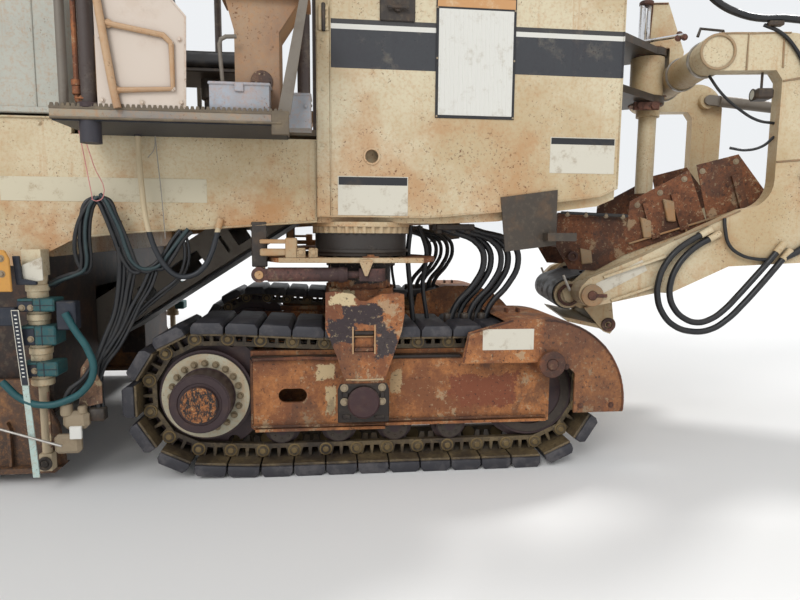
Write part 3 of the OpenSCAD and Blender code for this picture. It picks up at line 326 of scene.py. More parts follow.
@dataclass(frozen=True)
class RustedIron:
    """Old paint gone to rust: orange and brown clouds, dark oil and scale, and painted shade in corners."""

    bright: Colour = (176, 112, 62)
    deep: Colour = (104, 60, 36)
    oil: Colour = (40, 30, 25)
    paint: Colour = (170, 150, 118)
    oil_share: float = 0.4
    paint_share: float = 0.15
    rough: float = 0.72
    scale: float = 1.0
    oil_from: float = 0.535
    patches: tuple[Patch, ...] = ()

    def build(self, name: str) -> Material:
        """Wires the rust's nodes.

        Args:
            name: The material's name.

        Returns:
            The finished material.
        """
        g = Graph(name)
        place = g.place()
        cloud = g.noise(place, 3.2 * self.scale, 10, 0.7)
        base = g.mix(g.span(cloud, 0.4, 0.58), self.deep, self.bright)
        fine = g.noise(place, 48, 8, 0.75)
        base = g.mix(g.times(g.span(fine, 0.42, 0.6), 0.5), base, self.deep)
        left = g.noise(place, 6.5 * self.scale, 9, 0.74)
        base = g.mix(g.times(g.span(left, 0.585, 0.6), min(1.0, self.paint_share * 4.0)), base, self.paint)
        for patch in self.patches:
            ragged = g.noise(place, 9.0, 10, 0.78)
            dx = g.math("ABSOLUTE", g.spread(g.axis(place, "X"), FRONT_X + patch.x, patch.wide), 0.0)
            dz = g.math("ABSOLUTE", g.spread(g.axis(place, "Z"), patch.z, patch.high), 0.0)
            near = g.math("SUBTRACT", 1.0, g.math("MAXIMUM", dx, dz))
            held = g.span(g.math("ADD", g.times(near, 0.42), g.times(ragged, 0.72)), 0.5, 0.53)
            base = g.mix(g.times(held, g.math("GREATER_THAN", near, 0.01)), base, patch.colour)
        grit = g.noise(place, 40, 6, 0.75)
        base = g.mix(g.times(g.span(grit, 0.585, 0.605), 0.75), base, self.oil)
        base = g.mix(g.times(g.span(grit, 0.405, 0.385), min(0.7, self.paint_share * 4.0)), base, self.paint)
        oily = g.noise(g.place((1.0, 1.0, 0.45)), 2.2 * self.scale, 9, 0.72)
        oil = g.times(g.span(oily, self.oil_from, self.oil_from + 0.035), self.oil_share)
        # Painted shade: ambient occlusion darkens corners to the oil colour, joined with the real oil
        # streaks.
        dirt_and_shade = g.math("MAXIMUM", oil, g.times(g.span(g.corners(0.12), 0.25, 0.9), 0.75))
        normal = g.bump(g.math("ADD", g.times(fine, 0.7), g.times(cloud, 0.3)), 0.5, 0.003)
        return g.finish(g.mix(dirt_and_shade, base, self.oil), g.blend(oil, self.rough, 0.45), normal)


@dataclass(frozen=True)
class DarkSteel:
    """Greasy or dusty dark metal, with dust on what faces up."""

    body: Colour
    worn: Colour
    metallic: float = 0.3
    dust_share: float = 0.35
    rough: float = 0.5
    worn_share: float = 0.35
    dust: Colour = (132, 118, 98)

    def build(self, name: str) -> Material:
        """Wires the metal's nodes.

        Args:
            name: The material's name.

        Returns:
            The finished material.
        """
        g = Graph(name)
        place = g.place()
        cloud = g.noise(place, 9, 8, 0.68)
        base = g.mix(g.times(g.span(cloud, 0.48, 0.64), self.worn_share), self.body, self.worn)
        facing = g.axis(g.node("NewGeometry", "Normal", {}), "Z")
        patch = g.noise(place, 30, 8, 0.7)
        laid = g.times(g.span(facing, -0.2, 0.9), g.span(patch, 0.36, 0.62))
        laid = g.math("ADD", g.times(laid, self.dust_share),
                      g.times(g.span(patch, 0.52, 0.66), self.dust_share * 0.5))
        normal = g.bump(g.noise(place, 70, 6, 0.7), 0.35, 0.0015)
        return g.finish(g.mix(laid, base, self.dust), g.blend(laid, self.rough, 0.9), normal, self.metallic)


@dataclass(frozen=True)
class Chrome:
    """A polished rod with smears of oil."""

    bright: Colour = (214, 214, 216)
    oil: Colour = (120, 104, 88)

    def build(self, name: str) -> Material:
        """Wires the rod's nodes.

        Args:
            name: The material's name.

        Returns:
            The finished material.
        """
        g = Graph(name)
        smear = g.span(g.noise(g.place(), 14, 6, 0.7), 0.52, 0.68)
        return g.finish(g.mix(smear, self.bright, self.oil), g.blend(smear, 0.12, 0.5), metallic=1.0)


@dataclass(frozen=True)
class Rubber:
    """Hose, belt or pad rubber with a dusty bloom, and a pale sleeve above a height."""

    body: Colour = (30, 30, 32)
    bloom: Colour = (78, 74, 70)
    bloom_share: float = 0.5
    rough: float = 0.48
    pale_above: float | None = None
    pale: Colour = (190, 172, 140)

    def build(self, name: str) -> Material:
        """Wires the rubber's nodes.

        Args:
            name: The material's name.

        Returns:
            The finished material.
        """
        g = Graph(name)
        place = g.place()
        cloud = g.span(g.noise(place, 11, 7, 0.7), 0.46, 0.66)
        colour = g.mix(g.times(cloud, self.bloom_share), self.body, self.bloom)
        if self.pale_above is not None:
            colour = g.mix(g.math("GREATER_THAN", g.axis(place, "Z"), self.pale_above), colour, self.pale)
        return g.finish(colour, g.blend(cloud, self.rough, 0.8),
                        g.bump(g.noise(place, 180, 3, 0.6), 0.3, 0.0008))


@dataclass(frozen=True)
class PlainSheet:
    """A bare plate, label or plastic lid: one tone with scuffs and dirt."""

    tone: Colour
    scuff: Colour = (120, 110, 96)
    scuff_share: float = 0.35
    rough: float = 0.45

    def build(self, name: str) -> Material:
        """Wires the sheet's nodes.

        Args:
            name: The material's name.

        Returns:
            The finished material.
        """
        g = Graph(name)
        place = g.place()
        cloud = g.span(g.noise(place, 13, 9, 0.74), 0.52, 0.7)
        colour = g.mix(g.times(cloud, self.scuff_share), self.tone, self.scuff)
        return g.finish(colour, g.blend(cloud, self.rough, 0.75),
                        g.bump(g.noise(place, 60, 4, 0.6), 0.2, 0.001))


@dataclass(frozen=True)
class Camera:
    """The photographer's camera: its place from the front pivots, its turn and lens."""

    spot: Point = (-0.165, -4.447, 1.349)
    down: float = math.atan(70 / 600)
    yaw: float = math.radians(6.5)
    roll: float = math.radians(0.45)
    lens: float = 27.0

    def build(self) -> None:
        """Makes the camera and sets it as the scene's."""
        bpy.ops.object.select_all(action="DESELECT")
        bpy.ops.object.camera_add()
        camera = bpy.context.object
        camera.data.lens = self.lens
        camera.data.sensor_width = 36.0
        ahead = Vector((math.sin(self.yaw) * math.cos(self.down), math.cos(self.yaw) * math.cos(self.down),
                        -math.sin(self.down)))
        right = Vector((math.cos(self.yaw), -math.sin(self.yaw), 0.0))
        turn = Matrix.Rotation(-self.roll, 3, ahead)
        axes = Matrix((turn @ right, turn @ right.cross(ahead), -ahead)).transposed()
        camera.matrix_world = STATION @ Matrix.Translation(self.spot) @ axes.to_4x4()
        bpy.context.scene.camera = camera


@dataclass(frozen=True)
class Studio:
    """Pale floor, pale surroundings and soft light."""

    pale: Point = (0.8, 0.79, 0.77)
    sky: Point = (0.93, 0.96, 1.0)
    backdrop: Point = (0.86, 0.88, 0.9)
    dome: float = 0.85
    key: float = 1.6
    fill: float = 1.1

    def build(self) -> None:
        """Lays the floor, lights the set and makes the world pale."""
        bpy.ops.object.select_all(action="DESELECT")
        bpy.ops.mesh.primitive_plane_add(size=240.0)
        floor = bpy.context.object
        floor.name = "floor"
        g = Graph("floor_plain")
        floor.data.materials.append(g.finish((0, 0, 0), 0.9))
        g.shader.inputs["Base Color"].default_value = (*self.pale, 1.0)
        self.lamp("key_light", self.key, (0.62, 0.5, 0.8), 9.0)
        self.lamp("fill_light", self.fill, (-0.45, -0.95, 0.75), 25.0)
        world = bpy.data.worlds.new("pale_world")
        bpy.context.scene.world = world
        world.use_nodes = True
        nodes, links = world.node_tree.nodes, world.node_tree.links
        nodes.clear()
        path, seen, choice, output = (nodes.new(f"ShaderNode{kind}")
                                      for kind in ("LightPath", "Math", "MixShader", "OutputWorld"))
        seen.operation = "MAXIMUM"
        links.new(path.outputs["Is Camera Ray"], seen.inputs[0])
        links.new(path.outputs["Is Glossy Ray"], seen.inputs[1])
        links.new(seen.outputs["Value"], choice.inputs["Fac"])
        for i, tone, strength in ((1, self.sky, self.dome), (2, self.backdrop, 1.0)):
            light = nodes.new("ShaderNodeBackground")
            light.inputs["Color"].default_value = (*tone, 1.0)
            light.inputs["Strength"].default_value = strength
            links.new(light.outputs["Background"], choice.inputs[i])
        links.new(choice.outputs["Shader"], output.inputs["Surface"])
        bpy.context.scene.view_settings.view_transform = "Standard"

    def lamp(self, name: str, strength: float, source: Point, spread: float) -> None:
        """Adds a sun that shines from a direction.

        Args:
            name: The lamp's name.
            strength: Its strength.
            source: Direction towards the lamp.
            spread: Apparent size of the lamp, in degrees.
        """
        bpy.ops.object.light_add(type="SUN")
        lamp = bpy.context.object
        lamp.name = name
        lamp.data.energy = strength
        lamp.data.angle = math.radians(spread)
        lamp.rotation_euler = Vector(source).to_track_quat("Z", "Y").to_euler()


CREAM, FADED, BRIGHT_CREAM = (206, 192, 160), (186, 164, 126), (204, 190, 176)
FINISHES = {
    "cream_paint": {"cream_paint": WornPaint(CREAM, FADED, 0.6),
                    "chassis_coat": WornPaint(CREAM, FADED, 0.75, low_z=1.3, high_z=1.62),
                    "white_sheet": PlainSheet((214, 212, 204), (150, 132, 104)),
                    "label_sheet": PlainSheet((206, 200, 184), (140, 116, 84), 0.55),
                    "strip_sheet": PlainSheet((200, 190, 164), (150, 124, 90), 0.6),
                    "faded_orange": PlainSheet((196, 146, 96), (214, 200, 168), 0.5),
                    "deck_edge": DarkSteel((96, 84, 68), (140, 122, 92), 0.15),
                    "splash_paint": WornPaint((206, 192, 178), (190, 172, 150), 0.3),
                    "tan_tube": WornPaint((184, 152, 118), (160, 126, 98)),
                    "tan_box": WornPaint((178, 146, 104), (150, 120, 86)),
                    "desk_rust": RustedIron((140, 104, 76), (86, 62, 50), paint_share=0.4),
                    "arm_paint": WornPaint((158, 136, 106), (136, 112, 84), 0.7, runs=0.5),
                    "canopy_paint": WornPaint((200, 190, 164), (180, 166, 136), 0.3),
                    "plate_flake": WornPaint((196, 178, 146), (172, 148, 114), 0.7, 0.9, 0.5, 0.7),
                    "pale_teal": WornPaint((176, 196, 188), (188, 196, 186), 0.3),
                    # The deck's navy band below its walkway top is painted shade on the underside; the cream
                    # band above is paint.
                    "deck_coat": WornPaint((152, 140, 120), (128, 122, 116), bands_y=0.001,
        bands=(Band(1.6, 1.8165, (36, 36, 48)), Band(1.872, 3.0, BRIGHT_CREAM))),
                    "desk_coat": WornPaint((162, 134, 104), (134, 102, 78), 0.6, bands_y=1.6,
        bands=(Band(1.86, 3.0, BRIGHT_CREAM),))},
    "tank_paint": {"tank_paint": WornPaint((208, 196, 166), (188, 168, 132), 0.55, low_z=1.45, high_z=2.1,
        bands_from=FRONT_X - 0.165, bands=(Band(2.17, 2.361, (29, 36, 48)),
        Band(2.361, 2.386, (214, 212, 204)), Band(2.386, 2.41, (38, 40, 46))))},
    "hood_paint": {"hood_paint": WornPaint((178, 178, 166), (160, 160, 150), 0.25, 0.3),
                   "box_paint": WornPaint((160, 168, 178), (140, 142, 146), 0.3),
                   "canopy_coat": WornPaint((200, 190, 164), (180, 166, 136), 0.3, bands_y=1.2,
        bands=(Band(1.8, 3.98, (52, 38, 38)),))},
    "iron": {"iron": DarkSteel((70, 62, 54), (112, 84, 58)), "grease_iron": DarkSteel((38, 31, 28),
        (66, 46, 36), dust_share=0.15, rough=0.32), "hub_dark": DarkSteel((54, 38, 40), (84, 58, 46), 0.15,
        0.08, 0.42), "cap_dome": DarkSteel((58, 34, 36), (74, 46, 40), 0.15, 0.12, 0.34),
             "navy_block": DarkSteel((28, 34, 46), (46, 50, 60), 0.1, 0.15),
             "pale_bolt": DarkSteel((150, 134, 110), (110, 84, 60), 0.2),
             "black_enamel": PlainSheet((30, 30, 34), (96, 84, 70), 0.3),
             "dark_iron": DarkSteel((56, 50, 46), (96, 74, 54)),
             "teal_paint": WornPaint((24, 78, 82), (40, 92, 92), 0.3, stain=(96, 88, 66)),
             "housing_steel": DarkSteel((48, 38, 34), (92, 62, 44), worn_share=0.5),
             "slew_coat": WornPaint((196, 178, 146), (176, 150, 112), 0.8, 0.9, grime_and_shade=0.9, bands_y=0.001,
        bands=(Band(1.15, 1.331, (26, 24, 27)),))},
    "rust": {"rust": RustedIron((130, 78, 46), (74, 44, 28)), "cap_rust": RustedIron((112, 72, 56),
        (66, 42, 36), oil_share=0.45, paint_share=0.05), "fender_rust": RustedIron((126, 74, 44),
        (74, 44, 32), oil_share=0.3, paint_share=0.05), "exhaust_rust": RustedIron((112, 72, 50),
        # Side plates: the dark base is partly rust and partly painted shade, darkened to the shade under the
        # machine; the outer band is cream paint.
        (70, 48, 38), oil_share=0.5), "gate_steel": WornPaint((78, 56, 42), (56, 42, 34), 0.8, bands_y=1.236,
        bands=(Band(0.1, 1.0, (190, 172, 142)),))},
    "rust_paint": {"rust_paint": RustedIron(), "weld": RustedIron((124, 80, 48), (80, 50, 34),
        oil_share=0.2), "rust_plain": RustedIron((150, 96, 56), (94, 58, 38)),
                   "pipe_orange": RustedIron((168, 104, 58), (112, 66, 42), oil_share=0.2),
                   "link_orange": WornPaint((196, 142, 64), (178, 122, 56), 0.4),
                   "steer_rust": RustedIron((96, 62, 54), (60, 40, 38), oil_share=0.5, paint_share=0.05),
                   "yoke_rust": RustedIron((168, 106, 60), (112, 66, 40),
        patches=(Patch(-0.115, 0.815, 0.115, 0.11, (52, 40, 42)),
                 Patch(-0.01, 0.9, 0.15, 0.075, (52, 40, 42)), Patch(0.125, 0.76, 0.085, 0.13, (60, 50, 50)),
                 Patch(0.02, 1.115, 0.4, 0.095, (40, 32, 30)),
                 Patch(-0.11, 0.985, 0.11, 0.05, (196, 176, 138)))),
                   "frame_rust": RustedIron((176, 114, 64), (122, 74, 44),
        patches=(Patch(-0.2, 0.56, 0.08, 0.07, (190, 166, 126)),
                 Patch(-0.175, 0.4, 0.045, 0.13, (190, 166, 126)),
                 Patch(0.19, 0.5, 0.05, 0.11, (180, 150, 110)),
                 Patch(0.7, 0.44, 0.3, 0.14, (122, 66, 40))))},
    "hub_steel": {"hub_steel": DarkSteel((86, 68, 50), (120, 90, 60)),
                  "cream_ring": WornPaint((178, 174, 152), (158, 150, 126), 0.35, 0.4),
                  "roller_rim": DarkSteel((62, 54, 48), (82, 66, 52), dust_share=0.2),
                  "hub_nut": DarkSteel((128, 112, 86), (92, 76, 56)),
                  "speckled": RustedIron((168, 104, 52), (112, 66, 36), (30, 24, 24), (196, 160, 112), 1.0,
        0.3, 0.6, 38.0, 0.485)},
    "track_pad": {"track_pad": DarkSteel((44, 40, 40), (70, 62, 56), 0.1),
                  "chain_steel": RustedIron((110, 94, 66), (68, 56, 42), (34, 29, 25), (132, 114, 84), 0.5,
        0.1, 0.55), "brass_rim": DarkSteel((126, 106, 70), (84, 68, 46), 0.35),
                  "pad_face": Rubber((46, 45, 50), (96, 92, 92), 0.55, 0.55)},
    "chrome": {"chrome": Chrome()},
    "tube_steel": {"tube_steel": DarkSteel((116, 108, 98), (90, 76, 62)),
                   "bright_tube": DarkSteel((170, 166, 160), (120, 110, 100), 0.7, rough=0.3)},
    "belt_rubber": {"belt_rubber": Rubber(), "black_hose": Rubber((24, 25, 28), (70, 66, 62), 0.4, 0.42),
                    "sleeved_hose": Rubber((24, 28, 34), (64, 64, 66), 0.4, 0.42, 1.33),
                    # Thin teal lines that stand for the sheen on black hoses: painted highlight.
                    "teal_hose": Rubber((34, 52, 55), (70, 84, 82)),
                    # A black hose coloured teal all over for its sheen: painted reflection.
                    "teal_loop": Rubber((22, 74, 78), (60, 104, 104), 0.4),
                    "pink_string": PlainSheet((208, 136, 134), (180, 120, 110), 0.3),
                    "grey_string": PlainSheet((150, 144, 134), (110, 104, 96), 0.3)},
    "seat_vinyl": {"seat_vinyl": Rubber((36, 36, 38))},
    "lamp_glass": {"lamp_glass": PlainSheet((210, 210, 200))},
}


class Plane(Enum):
    """The plane in which an outline is drawn."""

    SIDE = "side"
    LEVEL = "level"

    def lay(self, u: float, v: float, depth: float) -> Vector:
        """Gives the point at u and v in the plane, and depth across it."""
        return Vector((u, depth, v) if self is Plane.SIDE else (u, v, depth))


def pick(pieces: Sequence[Piece]) -> None:
    """Selects these pieces alone, the first one active.

    Args:
        pieces: The pieces.
    """
    bpy.ops.object.select_all(action="DESELECT")
    for piece in pieces:
        piece.select_set(True)
    bpy.context.view_layer.objects.active = pieces[0]


def settle(piece: Piece) -> Piece:
    """Moves a piece's place, turn and scale into its mesh.

    Args:
        piece: The piece.

    Returns:
        The same piece.
    """
    pick([piece])
    bpy.ops.object.transform_apply(location=True, rotation=True, scale=True)
    return piece


def joined(pieces: Sequence[Piece]) -> Piece:
    """Joins pieces, each with the finish that it has.

    Args:
        pieces: The pieces.

    Returns:
        All of them as one piece.
    """
    pick(pieces)
    if len(pieces) > 1:
        bpy.ops.object.join()
    return bpy.context.object


def ease(piece: Piece, width: float, segments: int = 1) -> Piece:
    """Bevels the sharp edges of a piece.

    Args:
        piece: The piece.
        width: Width of the bevel.
        segments: Faces across it.

    Returns:
        The same piece.
    """
    if width > 0:
        pick([piece])
        bpy.ops.object.mode_set(mode="EDIT")
        bpy.ops.mesh.select_mode(type="EDGE")
        bpy.ops.mesh.select_all(action="DESELECT")
        bpy.ops.mesh.edges_select_sharp(sharpness=math.radians(48))
        bpy.ops.mesh.bevel(offset=width * MM, segments=segments)
        bpy.ops.object.mode_set(mode="OBJECT")
    return piece


def slab(low: Sequence[float], high: Sequence[float], bevel: float = 3) -> Piece:
    """Models a block with eased edges between two corners.

    Args:
        low: One corner.
        high: The opposite corner.
        bevel: Width of the eased edges.

    Returns:
        The block.
    """
    low, high = Vector(low) * MM, Vector(high) * MM
    bpy.ops.object.select_all(action="DESELECT")
    bpy.ops.mesh.primitive_cube_add(size=1.0, location=(low + high) / 2)
    piece = bpy.context.object
    piece.scale = high - low
    return ease(settle(piece), bevel)


def rod(start: Sequence[float], end: Sequence[float], radius: float, sides: int = 20, rim: float = 3,
        top: float | None = None) -> Piece:
    """Models a round bar, or a cone, between two points, with eased rims.

    Args:
        start: Middle of one end.
        end: Middle of the other end.
        radius: Its radius, at the start for a cone.
        sides: Faces round it.
        rim: Width of the eased rims.
        top: Radius at the end, where that differs.

    Returns:
        The bar.
    """
    start, end = Vector(start) * MM, Vector(end) * MM
    bpy.ops.object.select_all(action="DESELECT")
    run = end - start
    bpy.ops.mesh.primitive_cone_add(vertices=sides, radius1=radius * MM, depth=run.length,
        radius2=(radius if top is None else top) * MM, location=(start + end) / 2,
        rotation=run.to_track_quat("Z", "Y").to_euler())
    return ease(settle(bpy.context.object), rim)


def ring(start: Sequence[float], end: Sequence[float], outer: float, inner: float, sides: int = 32,
         rim: float = 2) -> Piece:
    """Models a flat ring: a round bar whose two faces are inset and bridged through.

    Args:
        start: Middle of one face.
        end: Middle of the other face.
        outer: Outer radius.
        inner: Radius of the hole.
        sides: Faces round it.
        rim: Width of the eased rims.

    Returns:
        The ring.
    """
    piece = rod(start, end, outer, sides, 0)
    bpy.ops.object.mode_set(mode="EDIT")
    bpy.ops.mesh.select_mode(type="FACE")
    bpy.ops.mesh.select_all(action="DESELECT")
    bpy.ops.object.mode_set(mode="OBJECT")
    for face in piece.data.polygons:
        face.select = len(face.vertices) == sides
    bpy.ops.object.mode_set(mode="EDIT")
    bpy.ops.mesh.inset(thickness=(outer - inner) * MM)
    bpy.ops.mesh.bridge_edge_loops()
    bpy.ops.object.mode_set(mode="OBJECT")
    return ease(piece, rim)


def plate(points: Sequence[Spot], span: Spot, plane: Plane = Plane.SIDE, bevel: float = 2) -> Piece:
    """Models a plate from its outline.

    Args:
        points: Corners of the outline, in order.
        span: Where its two faces lie across the plane.
        plane: Plane of the outline.
        bevel: Width of the eased edges.

    Returns:
        The plate.
    """
    bpy.ops.object.select_all(action="DESELECT")
    bpy.ops.mesh.primitive_circle_add(vertices=len(points), fill_type="NGON")
    piece = bpy.context.object
    for vertex, (u, v) in zip(piece.data.vertices, points):
        vertex.co = plane.lay(u, v, span[0]) * MM
    bpy.ops.object.mode_set(mode="EDIT")
    bpy.ops.mesh.select_all(action="SELECT")
    across = plane.lay(0, 0, span[1] - span[0]) * MM
    bpy.ops.mesh.extrude_region_move(TRANSFORM_OT_translate={"value": across})
    bpy.ops.mesh.select_all(action="SELECT")
    bpy.ops.mesh.normals_make_consistent(inside=False)
    bpy.ops.object.mode_set(mode="OBJECT")
    return ease(piece, bevel)


def curve(name: str, points: Sequence[Vector], radius: float, sides: int, steps: int,
          smooth: bool = True) -> Piece:
    """Draws a round curve.

    Args:
        name: Its name.
        points: Points that its middle passes through, in metres.
        radius: Its radius, in metres.
        sides: Faces round a quarter of it, less one.
        steps: Stretches between two points.
        smooth: Bends in curves, or in straight stretches.

    Returns:
        The curve, in the scene.
    """
    line = bpy.data.curves.new(name, "CURVE")
    line.dimensions = "3D"
    line.bevel_depth = radius
    line.bevel_resolution = sides
    line.use_fill_caps = True
    line.resolution_u = steps
    spline = line.splines.new("BEZIER")
    spline.bezier_points.add(len(points) - 1)
    for knot, point in zip(spline.bezier_points, points):
        knot.co = point
        knot.handle_left_type = knot.handle_right_type = "AUTO" if smooth else "VECTOR"
    piece = bpy.data.objects.new(name, line)
    bpy.context.collection.objects.link(piece)
    return piece


def tube(points: Sequence[Sequence[float]], radius: float, sides: int = 3, smooth: bool = True) -> Piece:
    """Models a bent tube or hose along points, as a mesh.

    Args:
        points: Points that its middle passes through.
        radius: Its radius.
        sides: Faces round a quarter of it, less one.
        smooth: Bends in curves, or in straight stretches.

    Returns:
        The tube.
    """
    pick([curve("tube", [Vector(point) * MM for point in points], radius * MM, sides, 5, smooth)])
    bpy.ops.object.convert(target="MESH")
    return bpy.context.object


def copies(model: Piece, places: Sequence[Matrix]) -> Piece:
    """Copies a modelled piece to each place, each with its own mesh, and joins them.

    Args:
        model: The piece, modelled once round its own zero.
        places: Where the copies go.

    Returns:
        The copies as one piece; the model is gone.
    """
    made = []
    for place in places:
        copy = bpy.data.objects.new(model.name, model.data.copy())
        copy.data.transform(place)
        bpy.context.collection.objects.link(copy)
        made.append(copy)
    bpy.data.objects.remove(model)
    return joined(made)


def turned(at: Sequence[float], towards: Sequence[float], spin: float = 0.0) -> Matrix:
    """Gives the place of a copy whose own Z axis points in a direction."""
    aim = Vector(towards).to_track_quat("Z", "Y").to_matrix().to_4x4()
    return moved(*at) @ aim @ Matrix.Rotation(spin, 4, "Z")


def bolts(spots: Sequence[Sequence[float]], towards: Sequence[float] = OUT, size: float = 12,
          head: float = 9, washer: bool = True) -> Piece:
    """Models one hexagon bolt, on a washer or without, and copies it to each spot.

    Args:
        spots: Where the heads sit.
        towards: Direction out of the surface.
        size: Radius of the head.
        head: Height of the head.
        washer: Puts a washer under the head.

    Returns:
        All the bolts as one piece.
    """
    model = rod((0, 0, 0), (0, 0, head), size, 6, size * 0.16)
    if washer:
        model = joined([model, rod((0, 0, -1), (0, 0, head * 0.25), size * 1.45, 16, head * 0.06)])
    return copies(model, [turned(spot, towards, 0.7 * i) for i, spot in enumerate(spots)])


def circle(middle: Sequence[float], radius: float, count: int, plane: Plane = Plane.SIDE) -> list[Vector]:
    """Spaces points evenly round a circle.

    Args:
        middle: Its middle, the third value across the plane.
        radius: Its radius.
        count: Number of points.
        plane: Plane of the circle.

    Returns:
        The points.
    """
    angles = [math.tau * i / count for i in range(count)]
    return [plane.lay(middle[0] + radius * math.cos(a), middle[1] + radius * math.sin(a), middle[2])
            for a in angles]


def bead(points: Sequence[Sequence[float]], radius: float = 6) -> Piece:
    """Lays a weld bead along points: a thin tube with ripples.

    Args:
        points: Points that its middle passes through.
        radius: Its radius.

    Returns:
        The bead.
    """
    piece = tube(points, radius, 1, smooth=False)
    pick([piece])
    bpy.ops.object.mode_set(mode="EDIT")
    bpy.ops.mesh.select_all(action="SELECT")
    bpy.ops.mesh.subdivide(number_cuts=3)
    bpy.ops.transform.vertex_random(offset=radius * 0.35 * MM, seed=4)
    bpy.ops.object.mode_set(mode="OBJECT")
    return piece


@dataclass
class Trim:
    """What each group of small parts is built with: finishes, joins and places."""

    materials: dict[str, Material]

    def paint(self, parts: Sequence[Piece], finish: str) -> list[Piece]:
        """Gives parts a finish, before they are joined with parts of another one.

        Args:
            parts: The parts.
            finish: Name of the finish.

        Returns:
            The same parts.
        """
        for part in parts:
            part.data.materials.clear()
            part.data.materials.append(self.materials[finish])
        return list(parts)

    def coats(self, **finishes: Sequence[Piece]) -> list[Piece]:
        """Gives each named finish to its parts, and hands them all over in order."""
        return [part for finish, parts in finishes.items() for part in self.paint(parts, finish)]

    def piece(self, name: str, parts: Sequence[Piece], finish: str, body: str | None,
              place: Matrix = STATION, smooth: float = 32) -> Piece:
        """Joins parts into one piece, puts it in the row frame and sets it on a body.

        Args:
            name: The piece's name.
            parts: Its parts, modelled in the frame that place gives.
            finish: Name of its finish, for parts that have none yet.
            body: The body it rides on, or none to leave it on no body.
            place: The frame that the parts were modelled in.
            smooth: Edges flatter than this, in degrees, are shaded smooth.

        Returns:
            The finished piece.
        """
        self.paint([part for part in parts if not part.data.materials], finish)
        piece = joined(parts)
        piece.data.transform(place)
        if place.is_negative:
            piece.data.flip_normals()
        piece.name = name
        bpy.ops.object.shade_smooth_by_angle(angle=math.radians(smooth))
        if body is not None:
            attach(piece, body)
        LOG.info("%s stands on %s", name, body)
        return piece


class Corner(Enum):
    """One of the four crawlers: its name, side and place along the machine."""

    FRONT_RIGHT = ("front_right", -1, 0)
    FRONT_LEFT = ("front_left", 1, 0)
    REAR_RIGHT = ("rear_right", -1, -WHEELBASE)
    REAR_LEFT = ("rear_left", 1, -WHEELBASE)

    @property
    def label(self) -> str:
        """Name that the corner's nodes end in."""
        return self.value[0]

    @property
    def body(self) -> str:
        """Body of the corner's leg."""
        return f"leg_{self.label}"

    @property
    def place(self) -> Matrix:
        """Frame with its zero under the leg's axis, its outer side towards -Y."""
        _, side, x = self.value
        place = STATION @ moved(x, side * TRACK_Y, 0)
        return place @ LEFT if side > 0 else place


